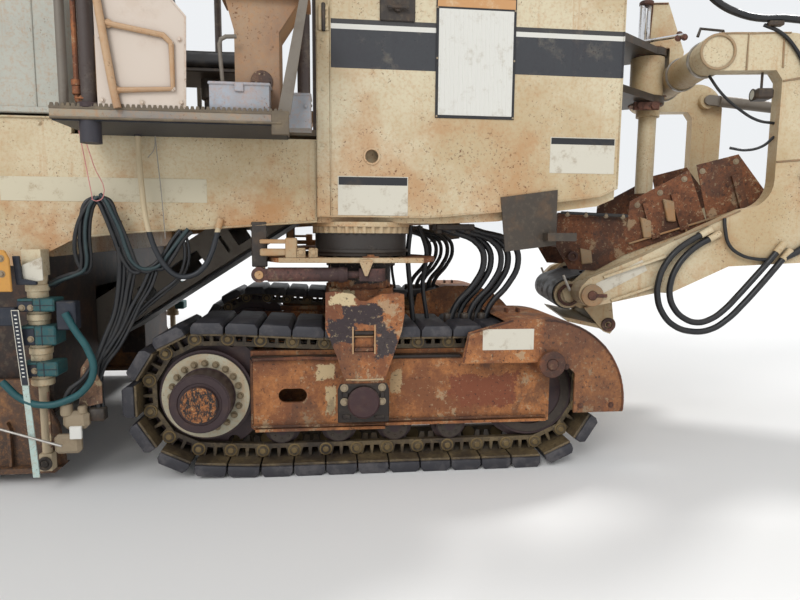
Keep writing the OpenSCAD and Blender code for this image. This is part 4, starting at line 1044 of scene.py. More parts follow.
@dataclass
class CrawlerChain(Trim):
    """Closed loop of links, pins and pads round the drive wheel and the idler."""

    pitch: float = 175.5
    count: int = 32
    rail_in: float = 85
    rail_out: float = 125
    pad_half: float = 84
    pad_y: float = 250
    knee: Spot = (-556, AXLE_Z - PIN_R)
    crest: Spot = (-230, AXLE_Z + PIN_R)

    def lead(self, spot: Spot) -> Spot:
        """Gives the length and slope of the straight run between a spot and the drive wheel.

        Args:
            spot: The place where the run ends.

        Returns:
            The length and the slope.
        """
        across, up = spot[0] + DRIVE_BACK, abs(DRIVE_Z - spot[1])
        far = math.hypot(across, up)
        return math.sqrt(far ** 2 - DRIVE_R ** 2), abs(math.asin(DRIVE_R / far) - math.atan2(up, across))

    def pins(self) -> list[Vector]:
        """Gives the pins of the loop, the first one at the knee under the rollers."""
        low, low_a = self.lead(self.knee)
        high, high_a = self.lead(self.crest)
        top = low + DRIVE_R * (math.pi + high_a - low_a)
        flat = top + high
        turn = math.pi * PIN_R
        idler = (self.count * self.pitch - flat - turn + self.crest[0] + self.knee[0]) / 2
        over = flat + idler - self.crest[0]
        made = []
        for s in (i * self.pitch for i in range(self.count)):
            if s < low:
                x, z = self.knee[0] - s * math.cos(low_a), self.knee[1] + s * math.sin(low_a)
            elif s < top:
                a = low_a + (s - low) / DRIVE_R
                x, z = -DRIVE_BACK - DRIVE_R * math.sin(a), DRIVE_Z - DRIVE_R * math.cos(a)
            elif s < flat:
                x = self.crest[0] - (flat - s) * math.cos(high_a)
                z = self.crest[1] + (flat - s) * math.sin(high_a)
            elif s < over:
                x, z = self.crest[0] + s - flat, self.crest[1]
            elif s < over + turn:
                a = (s - over) / PIN_R
                x, z = idler + PIN_R * math.sin(a), AXLE_Z + PIN_R * math.cos(a)
            else:
                x, z = idler - (s - over - turn), self.knee[1]
            made.append(Vector((x, 0, z)))
        return made

    def link(self) -> Piece:
        """Models one link: two side bars waisted between their bosses, the shoe and its pad."""
        half = self.pitch / 2 - 2
        waist = [(-half, -38), (half, -38), (half, 20), (half - 30, 38), (52, 38), (40, -12), (11, -12),
                 (7, 38), (-7, 38), (-11, -12), (-40, -12), (-52, 38), (-half + 30, 38), (-half, 20)]
        bars = [plate(waist, (side * self.rail_out, side * self.rail_in), bevel=1.5) for side in (-1, 1)]
        shoe = slab((-self.pad_half, -self.pad_y + 12, 36), (self.pad_half, self.pad_y - 12, 50))
        return copies(joined(self.coats(chain_steel=[*bars, shoe], pad_face=[self.pad()])),
                      [self.link_place(i) for i in range(self.count)])

    def pad(self) -> Piece:
        """Models the pad: a block that narrows towards its tread, with rounded edges."""
        half, tread = self.pad_half, 0.8 * self.pad_half
        pad = plate([(-half, 48), (half, 48), (half, 84), (tread, PAD_H), (-tread, PAD_H), (-half, 84)],
                    (-self.pad_y, self.pad_y), bevel=0)
        return ease(pad, 6, 2)

    def link_place(self, i: int) -> Matrix:
        """Gives the place of one link, its X axis along the loop and Z outwards.

        Args:
            i: Number of the link.

        Returns:
            Its place.
        """
        pins = self.pins()
        a, b = pins[i], pins[(i + 1) % self.count]
        turn = math.atan2(b.z - a.z, b.x - a.x)
        return moved(*(a + b) / 2) @ Matrix.Rotation(-turn, 4, "Y")

    def joints(self) -> list[Piece]:
        """Models the boss, bright bush and pin end at each joint of the chain."""
        spots = self.pins()
        made = []
        for side in (-1, 1):
            boss = rod((0, side * 80, 0), (0, side * 131, 0), 37, 16, 2)
            bush = ring((0, side * 129, 0), (0, side * 137, 0), 28, 18, 14, 0)
            pin = rod((0, side * 129, 0), (0, side * 141, 0), 17, 12)
            parts = self.coats(brass_rim=[boss, pin], chain_steel=[bush])
            made += [copies(part, [moved(*spot) for spot in spots]) for part in parts]
        return made

    def build(self, corner: Corner) -> Piece:
        """Builds the loop at one corner, in place of the plain one.

        Args:
            corner: Which crawler.

        Returns:
            The finished piece.
        """
        loop = self.piece(f"chain_{corner.label}", [self.link(), *self.joints()], "chain_steel", corner.body,
                          corner.place)
        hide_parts(f"track_{corner.label}")
        return loop


@dataclass
class WheelTrim(Trim):
    """Bolted ring and rims of the drive wheel's hub, end rings of the idler and rollers."""

    roller_z: float = 228.3
    idler_x: float = 979.8
    roller_xs: tuple[float, ...] = (-450, -130, 190, 510)

    def drive(self) -> list[Piece]:
        """Models the pale ring with its nuts, the gearbox's rims and the speckled end cap."""
        x, z = -DRIVE_BACK, DRIVE_Z
        wheel = ring((x, -155, z), (x, -162, z), 234.5, 150, 64, 3)
        heads = bolts(circle((x, z, -162), 184, 20), OUT, 13, 22)
        rims = [ring((x, -127, z), (x, -134.5, z), 251.5, 236, 64, 3),
                ring((x, -163, z), (x, -176, z), 160, 150, 48, 3),
                ring((x, -306, z), (x, -318, z), 158, 150, 48, 4),
                ring((x, -321, z), (x, -327, z), 150, 112, 48, 3)]
        cap = rod((x, -340, z), (x, -348, z), 94.5, 40, 4)
        lumps = [rod((x + r * math.cos(a), -346, z + r * math.sin(a)),
                     (x + r * math.cos(a), -353, z + r * math.sin(a)), 9, 6, 2)
                 for r, n in ((76, 14), (50, 9), (24, 5))
                 for a in (0.3 + math.tau * k / n for k in range(n))]
        return self.coats(cream_ring=[wheel], hub_nut=[heads], hub_dark=rims, speckled=[cap, *lumps])

    def rollers(self) -> list[Piece]:
        """Models the bolted end ring of each roller, and the idler's rim."""
        made = []
        for x in self.roller_xs:
            made.append(ring((x, -124, self.roller_z), (x, -133, self.roller_z), 74, 30))
            made.append(bolts(circle((x, self.roller_z, -133), 52, 8), OUT, 7, 6, False))
        made.append(ring((self.idler_x, -124, AXLE_Z), (self.idler_x, -134, AXLE_Z), 240, 190, 40))
        return self.paint(made, "roller_rim")

    def build(self, corner: Corner) -> Piece:
        """Builds the trim of one corner's wheels."""
        return self.piece(f"wheel_trim_{corner.label}", [*self.drive(), *self.rollers()], "cream_ring",
                          corner.body, corner.place)


@dataclass
class TrackFrameTrim(Trim):
    """Weld seams, bearing block, greased slide bar and fender straps of a track frame."""

    wall_y: float = -155
    cheek_y: float = -302
    fender_y: float = -300
    # Corners of the dark bearing block, widened over the shadowed gaps round the tongue: partly painted
    # shade.
    bearing_and_shade_low: Spot = (-138, 318)
    bearing_and_shade_high: Spot = (138, 530)

    def seams(self) -> list[Piece]:
        """Lays weld beads along the frame's walls, the yoke's pocket and the fender."""
        y = self.wall_y - 1
        runs = [[(-608, y - 20, 262), (128, y - 20, 262)], [(134, y - 20, 284), (1060, y - 20, 284)],
                [(-607, y, 270), (-607, y, 630)], [(-607, y, 634), (-130, y, 634)],
                [(130, y, 634), (900, y, 634)]]
        return self.paint([bead(run) for run in runs], "weld")

    def bearing(self) -> list[Piece]:
        """Models the dark bearing block on the yoke's tongue, widened over the gaps round it as painted
        shade, its bolts and its cap.
        """
        (x0, z0), (x1, z1) = self.bearing_and_shade_low, self.bearing_and_shade_high
        y = self.cheek_y
        block = plate([(x0, z0), (x1, z0), (x1, z1 - 30), (x1 - 12, z1), (x0 + 12, z1), (x0, z1 - 30)],
                      (y - 16, y + 1), bevel=4)
        cap = rod((0, y - 20, 432), (0, y - 44, 432), 87, 40, 10)
        nipple = rod((10, y - 40, 420), (10, y - 48, 420), 6, 10, 1)
        heads = bolts([(x, y - 16, z) for x in (-103, 99) for z in (510, 434)], OUT, 15, 12)
        lumps = [slab((x - w, y - 24, z - h), (x + w, y - 12, z + h), 5)
                 for x, z, w, h in ((-98, 472, 18, 16), (100, 470, 14, 18), (-92, 352, 24, 12),
                                    (86, 346, 28, 10))]
        return self.coats(grease_iron=[block, *lumps], cap_dome=[cap, nipple], pale_bolt=[heads])

    def pocket(self) -> list[Piece]:
        """Lines the yoke's blind pocket: pale side strips, a lip, a step and the pin below it."""
        y = self.cheek_y
        strips = [slab((x - 4, y - 3, 690), (x + 4, y + 1, top), 1) for x, top in ((-56, 838), (61, 848))]
        lip = slab((-49, y - 3, 792), (55, y + 24, 813), 4)
        step = slab((-49, y + 4, 700), (55, y + 24, 722), 4)
        bar = slab((-49, y + 12, 778), (55, y + 22, 786), 1)
        seam = bead([(-95, y - 1, 551), (0, y - 1, 547), (108, y - 1, 551)])
        return self.coats(plate_flake=[*strips, seam], rust_plain=[step], tan_box=[bar], grease_iron=[lip])

    def fender(self) -> list[Piece]:
        """Adds the boss, rim strap, lifting tab and bolts of the fender's outer plate."""
        y = self.fender_y
        boss = ring((1040, y - 20, 618), (1040, y - 30, 618), 75, 30, 32, 4)
        core = rod((1040, y - 18, 618), (1040, y - 36, 618), 31, 20, 4)
        rim = [1000 + 470 * math.cos(math.radians(a)) for a in range(-6, 91, 6)]
        rise = [AXLE_Z - 21 + 470 * math.sin(math.radians(a)) for a in range(-6, 91, 6)]
        edge = bead([(u, y - 1, min(v, AXLE_Z + 450)) for u, v in zip(rim, rise)])
        seam = bead([(545, y - 1, 634), (573, y - 1, 790), (818, y - 1, 862)], 5)
        tabs = [slab((x, -30, AXLE_Z + 452), (x + 12, 30, AXLE_Z + 480)) for x in (860, 930)]
        heads = bolts([(1130, y, 600), (1220, y, 375), (1400, y, 375)])
        return self.paint([boss, core, edge, seam, *tabs, heads], "fender_rust")

    def label(self) -> list[Piece]:
        """Models the blank label on the front right-hand fender."""
        return self.paint([slab((650, self.fender_y - 2.5, 700), (937, self.fender_y + 1, 816), 0.8)],
                          "label_sheet")

    def slide_bar(self) -> list[Piece]:
        """Models the greased wear strip below the upper run of the chain."""
        strip = slab((-610, -172, 634), (560, -130, 656), 5)
        crust = bead([(-600, -176, 640), (-300, -178, 644), (-135, -176, 640)], 11)
        return self.coats(grease_iron=[strip], fender_rust=[crust])

    def build(self, corner: Corner) -> Piece:
        """Builds the trim of one corner's track frame and yoke.

        Args:
            corner: Which crawler.

        Returns:
            The finished piece.
        """
        parts = [*self.seams(), *self.bearing(), *self.pocket(), *self.fender(), *self.slide_bar()]
        if corner is Corner.FRONT_RIGHT:
            parts += self.label()
        return self.piece(f"frame_trim_{corner.label}", parts, "rust_plain", corner.body, corner.place)


@dataclass
class SteeringTrim(Trim):
    """Bolts, pins, lugs and the flaking collar on a steering plate."""

    plate_z: float = 1200
    arm_x: float = 40
    arm_y: float = -262

    def build(self, corner: Corner) -> Piece:
        """Builds the trim of one steering plate and its leg's head.

        Args:
            corner: Which crawler.

        Returns:
            The finished piece.
        """
        z = self.plate_z
        pin = [rod((self.arm_x, self.arm_y, z - 2), (self.arm_x, self.arm_y, z + 18), 20),
               slab((self.arm_x - 45, self.arm_y - 18, z - 2), (self.arm_x + 45, self.arm_y + 16, z + 8))]
        cubes = [slab((x - 24, -292, z - 2), (x + 24, -250, z + 52), 6) for x in (-325, -262)]
        cubes += [slab((-405, -294, z - 2), (-345, -236, z + 104), 5),
                  slab((-535, -286, z + 74), (-400, -246, z + 96), 4),
                  slab((-535, -286, z + 10), (-400, -246, z + 48), 6)]
        studs = bolts([(x, -292, z + 30) for x in (-325, -262)], OUT, 15, 12)
        rim = [slab((-440, -300, z - 25), (320, -292, z + 1)),
               slab((-440, -298, z - 1), (320, -232, z + 1.5), 1)]
        tab = [plate([(-24, z - 16), (50, z - 16), (20, z - 92), (6, z - 92)], (-328, -320)),
               slab((-20, -322, z - 22), (46, -298, z - 6), 2)]
        collar = bolts(circle((0, 0, z), 232, 14, Plane.LEVEL), UP, 11, 10)
        head = bolts(circle((0, 0, 1024), 178, 12, Plane.LEVEL), UP, 10)
        parts = self.coats(rust_plain=[*pin, head], plate_flake=[*cubes, studs, *rim, *tab, collar])
        return self.piece(f"steering_trim_{corner.label}", parts, "rust_plain", corner.body, corner.place)


@dataclass
class TankTrim(Trim):
    """Seams, blank plates and labels, hinges, caps and bolts of the saddle tanks."""

    face: float = -1250
    top: float = 2900

    def sign(self, low: Spot, high: Spot, finish: str, lift: float = 3) -> list[Piece]:
        """Models a thin blank sheet on the tank's outer face."""
        return self.paint([slab((low[0], self.face - lift, low[1]), (high[0], self.face + 1, high[1]), 1)],
                          finish)

    def name_plate(self) -> list[Piece]:
        """Models the large nameless plate: dark border, ribbed pale sheet and a band above."""
        parts = self.sign((376, 1935), (800, 2545), "black_enamel", 5)
        parts += self.sign((390, 1950), (786, 2482), "white_sheet", 8)
        parts += self.sign((382, 2492), (794, 2540), "faded_orange", 7)
        ribs = [slab((x, self.face - 9.5, 1955), (x + 9, self.face - 7, 2477), 0.8)
                for x in (400 + 23.5 * i for i in range(17))]
        screws = bolts([(x, self.face - 5, z) for x in (383, 793) for z in (1943, 2235, 2486)], OUT, 6, 4,
                       False)
        return [*parts, *self.paint(ribs, "white_sheet"), *self.paint([screws], "pale_bolt")]

    def labels(self) -> list[Piece]:
        """Models the two blank labels with their dark headers."""
        parts = []
        for low, high, header in (((-132, 1424), (237, 1627), 46), ((1008, 1662), (1373, 1853), 38)):
            parts += self.sign(low, high, "label_sheet", 2)
            parts += self.sign((low[0] + 4, high[1] - header), (high[0] - 4, high[1] - 4), "black_enamel",
                               2.8)
        return parts

    def seams(self) -> list[Piece]:
        """Lays the panel strip, weld beads and rivets of the outer panel."""
        y = self.face
        strip = slab((-236, y - 4, 1418), (-172, y + 1, 2348), 2)
        beads = [bead([(-167, y - 1, 1420), (-167, y - 1, 2880)], 4.5),
                 bead([(-230, y - 1, 1418), (360, y - 1, 1418), (739, y - 1, 1453), (1017, y - 1, 1505),
                       (1301, y - 1, 1541), (1395, y - 1, 1588)], 5),
                 bead([(1396, y - 1, 1600), (1396, y - 1, 2760)], 4.5)]
        eyes = bolts([(-205, y - 4, z) for z in (1500, 1780, 2060, 2300)], OUT, 8, 5)
        return self.paint([strip, *beads, eyes], "tank_paint")

    def latch(self) -> list[Piece]:
        """Models the latch panel at the tank's side door, and its hinge leaf."""
        y = self.face
        leaf = slab((84, y - 10, 2408), (265, y + 1, 2560), 4)
        handle = rod((174, y - 8, 2470), (174, y - 26, 2470), 20)
        grip = slab((120, y - 34, 2462), (230, y - 24, 2478), 4)
        hinge = slab((-226, y - 14, 2346), (-176, y + 1, 2470))
        knuckle = rod((-201, y - 18, 2340), (-201, y - 18, 2476), 10, 16)
        heads = bolts([(-189, y - 14, z) for z in (2368, 2410, 2450)], OUT, 8, 6)
        bung = ring((45, y - 6, 1730), (45, y + 4, 1730), 45, 34, 28)
        return self.coats(dark_iron=[leaf, handle, grip, knuckle], tank_paint=[hinge, heads, bung])

    def roof(self) -> list[Piece]:
        """Models fillers, inspection covers, tread strips and lifting eyes on one tank's top."""
        parts = []
        for x in (200, 950):
            parts.append(rod((x, -900, self.top - 2), (x, -900, self.top + 30), 150, 32, 6))
            parts.append(bolts(circle((x, -900, self.top + 28), 128, 10, Plane.LEVEL), UP, 11))
        parts.append(rod((580, -1100, self.top - 2), (580, -1100, self.top + 75), 62, 28, 6))
        parts.append(rod((580, -1100, self.top + 70), (580, -1100, self.top + 100), 75, 12, 8))
        for x in (-180, 1220):
            parts.append(ring((x, -640, self.top + 45), (x, -662, self.top + 45), 55, 28, 24, 3))
        treads = [slab((x, -1200, self.top - 1), (x + 12, -620, self.top + 6), 2)
                  for x in (420 + 50 * i for i in range(7))]
        return self.paint([*parts, *treads], "tank_paint")

    def build(self) -> None:
        """Builds both tanks' trim; the plates are on the right-hand one alone."""
        for side, place in SIDES:
            signs = [*self.name_plate(), *self.labels()] if side == "right" else []
            self.piece(f"tank_trim_{side}", [*signs, *self.seams(), *self.latch(), *self.roof()],
                       "tank_paint", "chassis", place)


@dataclass
class ChassisTrim(Trim):
    """Blank strip, beads, pads and bolts on the chassis walls, and its tie-down eyes' rims."""

    wall: float = -1220
    deck: float = 1868

    def wall_parts(self) -> list[Piece]:
        """Lays beads along the wall's lower edge and the seam of its panels."""
        y = self.wall - 1
        low = [(-240, 1387), (-692, 1354), (-1241, 1319), (-1465, 1292)]
        runs = [[(x, y, z + 4) for x, z in low], [(-246, y, 1392), (-246, y, 1800)],
                [(-1448, y, 1860), (-1448, y, 1900)], [(-1900, y, 1330), (-1900, y, 1885)],
                [(-3400, y, 1200), (-3400, y, 1885)]]
        pads = [slab((x, y - 10, 1600), (x + 200, y + 2, 1800), 4) for x in (-2550, -4450)]
        heads = bolts([(x + dx, y - 10, z) for x in (-2550, -4450) for dx in (30, 170)
                       for z in (1630, 1770)], OUT, 14)
        return self.paint([*(bead(run, 5) for run in runs), *pads, heads], "cream_paint")

    def hinge_line(self) -> list[Piece]:
        """Models the folded edge where the hood stands on the chassis wall."""
        y = self.wall
        lip = slab((-6480, y - 12, 1884), (-1452, y + 4, 1893))
        heads = bolts([(-1600 - 400 * i, y - 1, 1862) for i in range(12)], OUT, 10)
        return self.paint([lip, heads], "cream_paint")

    def build(self) -> None:
        """Builds both walls' trim; the blank strip is on the right-hand one alone."""
        strip = slab((-1800, self.wall - 2, 1480), (-803, self.wall + 1, 1600), 0.8)
        for side, place in SIDES:
            blank = self.paint([strip], "strip_sheet") if side == "right" else []
            self.piece(f"chassis_trim_{side}", [*self.wall_parts(), *self.hinge_line(), *blank],
                       "cream_paint", "chassis", place)
        eyes = [ring((-6530, side * 737, 1500), (-6530, side * 733, 1500), 48, 33, 24, 1)
                for side in (-1, 1)]
        seams = [bead([(x, -1160, 1739), (x, 1160, 1739)]) for x in (-637, -703)]
        self.piece("chassis_seams", [*eyes, *seams], "cream_paint", "chassis")


@dataclass
class HoodTrim(Trim):
    """Beads, latches, rain gutters, exhaust rims and tail lamps' rims of the engine hood."""

    face: float = -1230
    top: float = 3000

    def side(self) -> list[Piece]:
        """Models the panel beads, gutter and clamps of one side of the hood."""
        y = self.face
        gutter = tube([(-1455, y - 4, 2872), (-6490, y - 4, 2872)], 8, 2)
        joints = [bead([(x, y - 1, 1915), (x, y - 1, 2830)], 4) for x in (-1600, -3100, -3850)]
        base = slab((-6490, y - 8, 1908), (-1452, y + 2, 1936))
        latches = []
        for x in (-2000, -2800, -3500):
            latches.append(slab((x, y - 14, 1950), (x + 50, y + 1, 2060), 4))
            latches.append(rod((x + 25, y - 22, 1965), (x + 25, y - 22, 2045), 7, 12))
        heads = bolts([(-1500 - 300 * i, y - 8, 1922) for i in range(17)], OUT, 8)
        return self.coats(hood_paint=[gutter, *joints, base, heads], dark_iron=latches)

    def roof(self) -> list[Piece]:
        """Models the ribs, their bolts and the hatch with its grip on the hood's roof."""
        z = self.top
        seams = [slab((x, -1020, z - 1), (x + 50, 1020, z + 5), 2) for x in (-2400, -3600, -5300)]
        heads = bolts([(x + 25, y, z + 5) for x in (-2400, -3600, -5300)
                       for y in (-900 + 300 * i for i in range(7))], UP, 9)
        hatch = slab((-3300, -350, z - 1), (-2700, 350, z + 14), 6)
        grip = tube([(-3050, -80, z + 12), (-3050, -80, z + 50), (-3050, 80, z + 50), (-3050, 80, z + 12)],
                    7, 2)
        return self.coats(hood_paint=[*seams, heads, hatch], dark_iron=[grip])

    def exhausts(self) -> list[Piece]:
        """Models the clamps, flanges and cut ends of the exhaust stacks."""
        parts = []
        for x in (-4350, -4850):
            parts += [ring((x, 0, self.top + 60), (x, 0, self.top + 85), 90, 79, 32, 3),
                      ring((x, 0, self.top + 300), (x, 0, self.top + 325), 90, 79, 32, 3),
                      bolts([(x + 98, 0, self.top + 73), (x + 98, 0, self.top + 313)], (1, 0, 0)),
                      bolts(circle((x, 0, self.top + 30), 112, 8, Plane.LEVEL), UP, 10)]
            aim = Vector((-math.sin(math.radians(40)), 0, math.cos(math.radians(40))))
            mouth = Vector((x, 0, self.top + 420)) + aim * 165
            parts.append(ring(mouth, mouth + aim * 30, 86, 68))
            parts.append(rod(mouth + aim * 25.5, mouth + aim * 26.5, 70, 32, 0))
        return self.paint(parts, "exhaust_rust")

    def rear(self) -> list[Piece]:
        """Models the rear face: frame bolts, the tail lamps' rims and the ladders' treads."""
        x = -6530
        heads = bolts([(x, y, z) for y in (-910, -450, 0, 450, 910) for z in (1985, 2835)], (-1, 0, 0), 10)
        rims = [ring((-6597, y, 1940), (-6605, y, 1940), 44, 34, 28) for y in (-1100, 1100)]
        treads = [slab((-6600, y, 664 + 300 * i), (-6545, y + 380, 670 + 300 * i), 1) for y in (-640, 260)
                  for i in range(3)]
        return self.paint([heads, *rims, *treads], "dark_iron")

    def build(self) -> None:
        """Builds both sides, the roof and the rear."""
        for side, place in SIDES:
            self.piece(f"hood_trim_{side}", self.side(), "hood_paint", "chassis", place)
        self.piece("hood_roof_trim", self.roof(), "hood_paint", "chassis")
        self.piece("exhaust_rims", self.exhausts(), "exhaust_rust", "chassis")
        self.piece("rear_trim", self.rear(), "dark_iron", "chassis")


@dataclass
class DeckTrim(Trim):
    """Tread edges, covers, posts and grips of the operator's deck."""

    deck: float = 1868
    edge: float = -1650

    def tread(self) -> list[Piece]:
        """Cuts the toothed edge of the walkway and its rows of raised treads."""
        z = self.deck
        tooth = plate([(-9, 0), (9, 0), (5, 14), (-5, 14)], (self.edge - 1, self.edge + 6), bevel=0)
        teeth = copies(tooth, [moved(-1355 + 22.5 * i, 0, z - 1) for i in range(44)])
        stud = rod((0, 0, 0), (0, 0, 6), 11, 10, 2)
        studs = copies(stud, [moved(-1335 + 55 * i, y, z - 1) for i in range(18)
                              for y in (-1615, -1565, -1515, -1465, -1415, -1365, -1315, -1265)])
        return self.paint([teeth, studs], "deck_edge")

    def fascia(self) -> list[Piece]:
        """Models the walkway's lip, end plate, rolled edge, sleeve, and a sheet under it painted dark as
        shade.
        """
        y = self.edge
        lip = slab((-1366, y - 3, self.deck - 12), (-380, y + 1, self.deck - 1), 1)
        end = slab((-430, y - 4, self.deck - 100), (-352, y + 12, self.deck + 4))
        roll = tube([(-1362, y - 2, self.deck - 50), (-384, y - 2, self.deck - 50)], 6, 2, False)
        sleeve = slab((-1250, -1615, self.deck - 150), (-1212, -1575, self.deck - 50))
        # Painted shade: a thin navy sheet under the walkway, where its underside lies in shadow.
        under = slab((-1360, -1640, self.deck - 60), (-386, -1224, self.deck - 55.5), 0)
        return self.coats(deck_edge=[lip, end, roll], hub_dark=[sleeve], navy_block=[under])

    def covers(self) -> list[Piece]:
        """Models the lids, hinges and latches of the two boxes beside the deck."""
        top = self.deck + 115
        lid = slab((-706, -1636, top - 2), (-434, -1539, top + 12), 4)
        latch = slab((-590, -1640, top - 30), (-550, -1628, top + 8))
        knobs = [rod((x, -1587.5, top + 10), (x, -1587.5, top + 22), 8, 12) for x in (-660, -480)]
        small = slab((-384, -1484, self.deck + 108), (-258, -1336, self.deck + 122), 4)
        heads = bolts([(x, -1481, self.deck + 60) for x in (-360, -285)], OUT, 7)
        return self.paint([lid, latch, *knobs, small, heads], "box_paint")

    def stand_pipe(self) -> list[Piece]:
        """Models the orange riser with its valve, the dark post's cap and the slanting brace."""
        x, y = -1268, -1592
        riser = [tube([(x, y, 2550), (x, y, 1990)], 12.5, 3, False), rod((x, y, 1990), (x, y, 1962), 24, 6),
                 rod((x, y, 1962), (x, y, 1925), 20), tube([(x, y, 1926), (x, y, 1902), (x + 22, y, 1888),
            (x + 52, y, 1884)], 12), rod((x + 30, y - 12, 1905), (x + 30, y - 34, 1905), 14, 12),
                 slab((x + 4, y - 42, 1901), (x + 60, y - 34, 1909), 2),
                 tube([(x, y, 2540), (x + 20, y + 30, 2600), (x + 30, y + 120, 2620)], 15)]
        brace = plate([(-1178, 1872), (-1140, 1872), (-1190, 2225), (-1212, 2225)], (-1606, -1596))
        lean = tube([(-1079, -1662, 1862), (-1086, -1664, 1900), (-1098, -1668, 1980), (-1142, -1668, 2300),
                     (-1166, -1664, 2460)], 16.5, 4)
        cap = [ring((-1215, -1605, self.deck - 4), (-1215, -1605, self.deck + 20), 52, 33.5, 28, 3)]
        return self.coats(pipe_orange=riser, tan_tube=[brace, lean], hub_dark=cap)

    def panel(self) -> list[Piece]:
        """Bolts the splash panel and gives its hoop two feet."""
        y = -1648.5
        heads = bolts([(x, y, z) for x in (-1145, -815) for z in (1895, 2160)]
                      + [(-980, y, 1890), (-1145, y, 2385)], OUT, 8)
        feet = [rod((u, -1650, v), (u, -1662, v), 19) for u, v in ((-1105, 2211), (-1084, 1937))]
        hoop = tube([(-1140, y - 9.5, 2214), (-1115, y - 9.5, 2212), (-880, y - 9.5, 2172),
                     (-848, y - 9.5, 2140), (-847, y - 9.5, 1950), (-1090, y - 9.5, 1937)], 12.5, 3, False)
        fold = tube([(-800, y, 1875), (-788, y, 2256), (-900, y, 2388), (-935, y, 2410), (-1165, y, 2410)],
                    4.5, 2, False)
        return self.coats(splash_paint=[heads, fold], tan_tube=[*feet, hoop])

    def build(self) -> None:
        """Builds both walkways; the riser and small fittings are on the right-hand one."""
        for side, place in SIDES:
            parts = [*self.tread(), *self.fascia(), *self.covers(), *self.panel()]
            if side == "right":
                parts += self.stand_pipe()
            self.piece(f"deck_trim_{side}", parts, "deck_edge", "chassis", place)


@dataclass
class ControlDesk(Trim):
    """Gauges, levers, knobs and the wheel of a steering desk."""

    top: float = 2430

    def parts(self) -> list[Piece]:
        """Models the desk's lid, its gauges, two rows of levers and the pedestal's rusty cover."""
        z = self.top
        lid = slab((-640, -1560, z - 2), (-280, -1365, z + 6))
        gauges = []
        glass = []
        y = -1410
        for x in (-580, -500, -420, -340):
            gauges.append(ring((x, y, z + 4), (x, y, z + 16), 33, 27, 28))
            glass.append(rod((x, y, z + 4), (x, y, z + 10), 27.5, 28, 1))
            gauges.append(slab((x - 1, y - 16, z + 10.2), (x + 1.2, y + 3, z + 11.2), 0))
        levers = []
        for x in (-600, -540, -480, -420, -360, -300):
            levers += [rod((x, -1500, z + 4), (x, -1500, z + 24), 14, 16, 2, 8),
                       rod((x, -1500, z + 20), (x + 6, -1500, z + 78), 4, 10, 0),
                       rod((x + 6, -1500, z + 74), (x + 8, -1500, z + 100), 10, 16, 5)]
        hub = [rod((-450, -1460, z + 4), (-450, -1460, z + 50), 12, 16),
               ring((-450, -1460, z + 44), (-450, -1460, z + 60), 62, 50, 32, 5)]
        cover = rod((-480, -1538, 2020), (-480, -1549, 2020), 50, 32)
        heads = bolts(circle((-480, 2020, -1549), 36, 4), OUT, 5, 5, False)
        return self.coats(desk_rust=[lid, cover, heads], dark_iron=[*gauges, *levers, *hub],
                          lamp_glass=glass)

    def build(self) -> None:
        """Builds the desk on both sides."""
        for side, place in SIDES:
            self.piece(f"desk_trim_{side}", self.parts(), "dark_iron", "chassis", place)


@dataclass
class OperatorSeat(Trim):
    """A padded seat: crowned cushion and back with piped seams, on a ribbed pedestal."""

    deck: float = 1868

    def cushion(self, low: Point, high: Point, crown: float, lean: float = 0) -> Piece:
        """Models a cushion that crowns in the middle and pulls in between its corners.

        Args:
            low: Lowest corner of its block.
            high: Highest corner.
            crown: How far the top rises in the middle.
            lean: How far its top leans back.

        Returns:
            The cushion.
        """
        pad = slab(low, high, 0)
        pick([pad])
        bpy.ops.object.mode_set(mode="EDIT")
        bpy.ops.mesh.select_all(action="SELECT")
        bpy.ops.mesh.subdivide(number_cuts=11)
        bpy.ops.object.mode_set(mode="OBJECT")
        low, high = Vector(low) * MM, Vector(high) * MM
        middle, half = (low + high) / 2, (high - low) / 2
        for vertex in pad.data.vertices:
            u, v, w = ((vertex.co[i] - middle[i]) / half[i] for i in range(3))
            squeeze = 1 - 0.05 * (1 - v * v) * abs(u) ** 6 - 0.1 * abs(w) ** 6
            side = 1 - 0.05 * (1 - u * u) * abs(v) ** 6 - 0.1 * abs(w) ** 6
            rise = (crown * (1 - u * u) * (1 - v * v) - 6 * math.cos(7 * v) ** 8) * MM
            shift = lean * (w + 1) / 2 * MM
            vertex.co = Vector((middle.x + u * half.x * squeeze - shift, middle.y + v * half.y * side,
                                middle.z + w * half.z * (0.92 if w > 0 else 1.0) + (rise if w > 0.9 else 0)))
        finish = pad.modifiers.new("soften", "SUBSURF")
        finish.levels = finish.render_levels = 1
        pick([pad])
        bpy.ops.object.modifier_apply(modifier=finish.name)
        return pad

    def build(self) -> None:
        """Builds both seats, the right-hand one's frame in place of the plain seats."""
        for side, place in SIDES:
            z = self.deck
            base = [ring((-820, -900, z), (-820, -900, z + 16), 110, 55, 28, 3),
                    rod((-820, -900, z), (-820, -900, z + 300), 45, 24),
                    ring((-820, -900, z + 190), (-820, -900, z + 300), 60, 44, 24, 4),
                    slab((-1020, -1090, z + 296), (-640, -710, z + 320), 6),
                    plate([(-1075, z + 310), (-1035, z + 310), (-1140, z + 860), (-1158, z + 860)],
                          (-930, -870), bevel=4)]
            frame_piece = self.piece(f"seat_frame_{side}", base, "dark_iron", "chassis", place)
            seat = self.cushion((-1055, -1125, z + 322), (-605, -675, z + 405), 16)
            pad = self.piece(f"seat_cushion_{side}", [seat], "seat_vinyl", "chassis", place, 60)
            rest = self.cushion((-1075, -1105, z + 425), (-995, -695, z + 880), 0, 70)
            back = self.piece(f"seat_back_{side}", [rest], "seat_vinyl", "chassis", place, 60)
            if side == "right":
                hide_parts("seats")


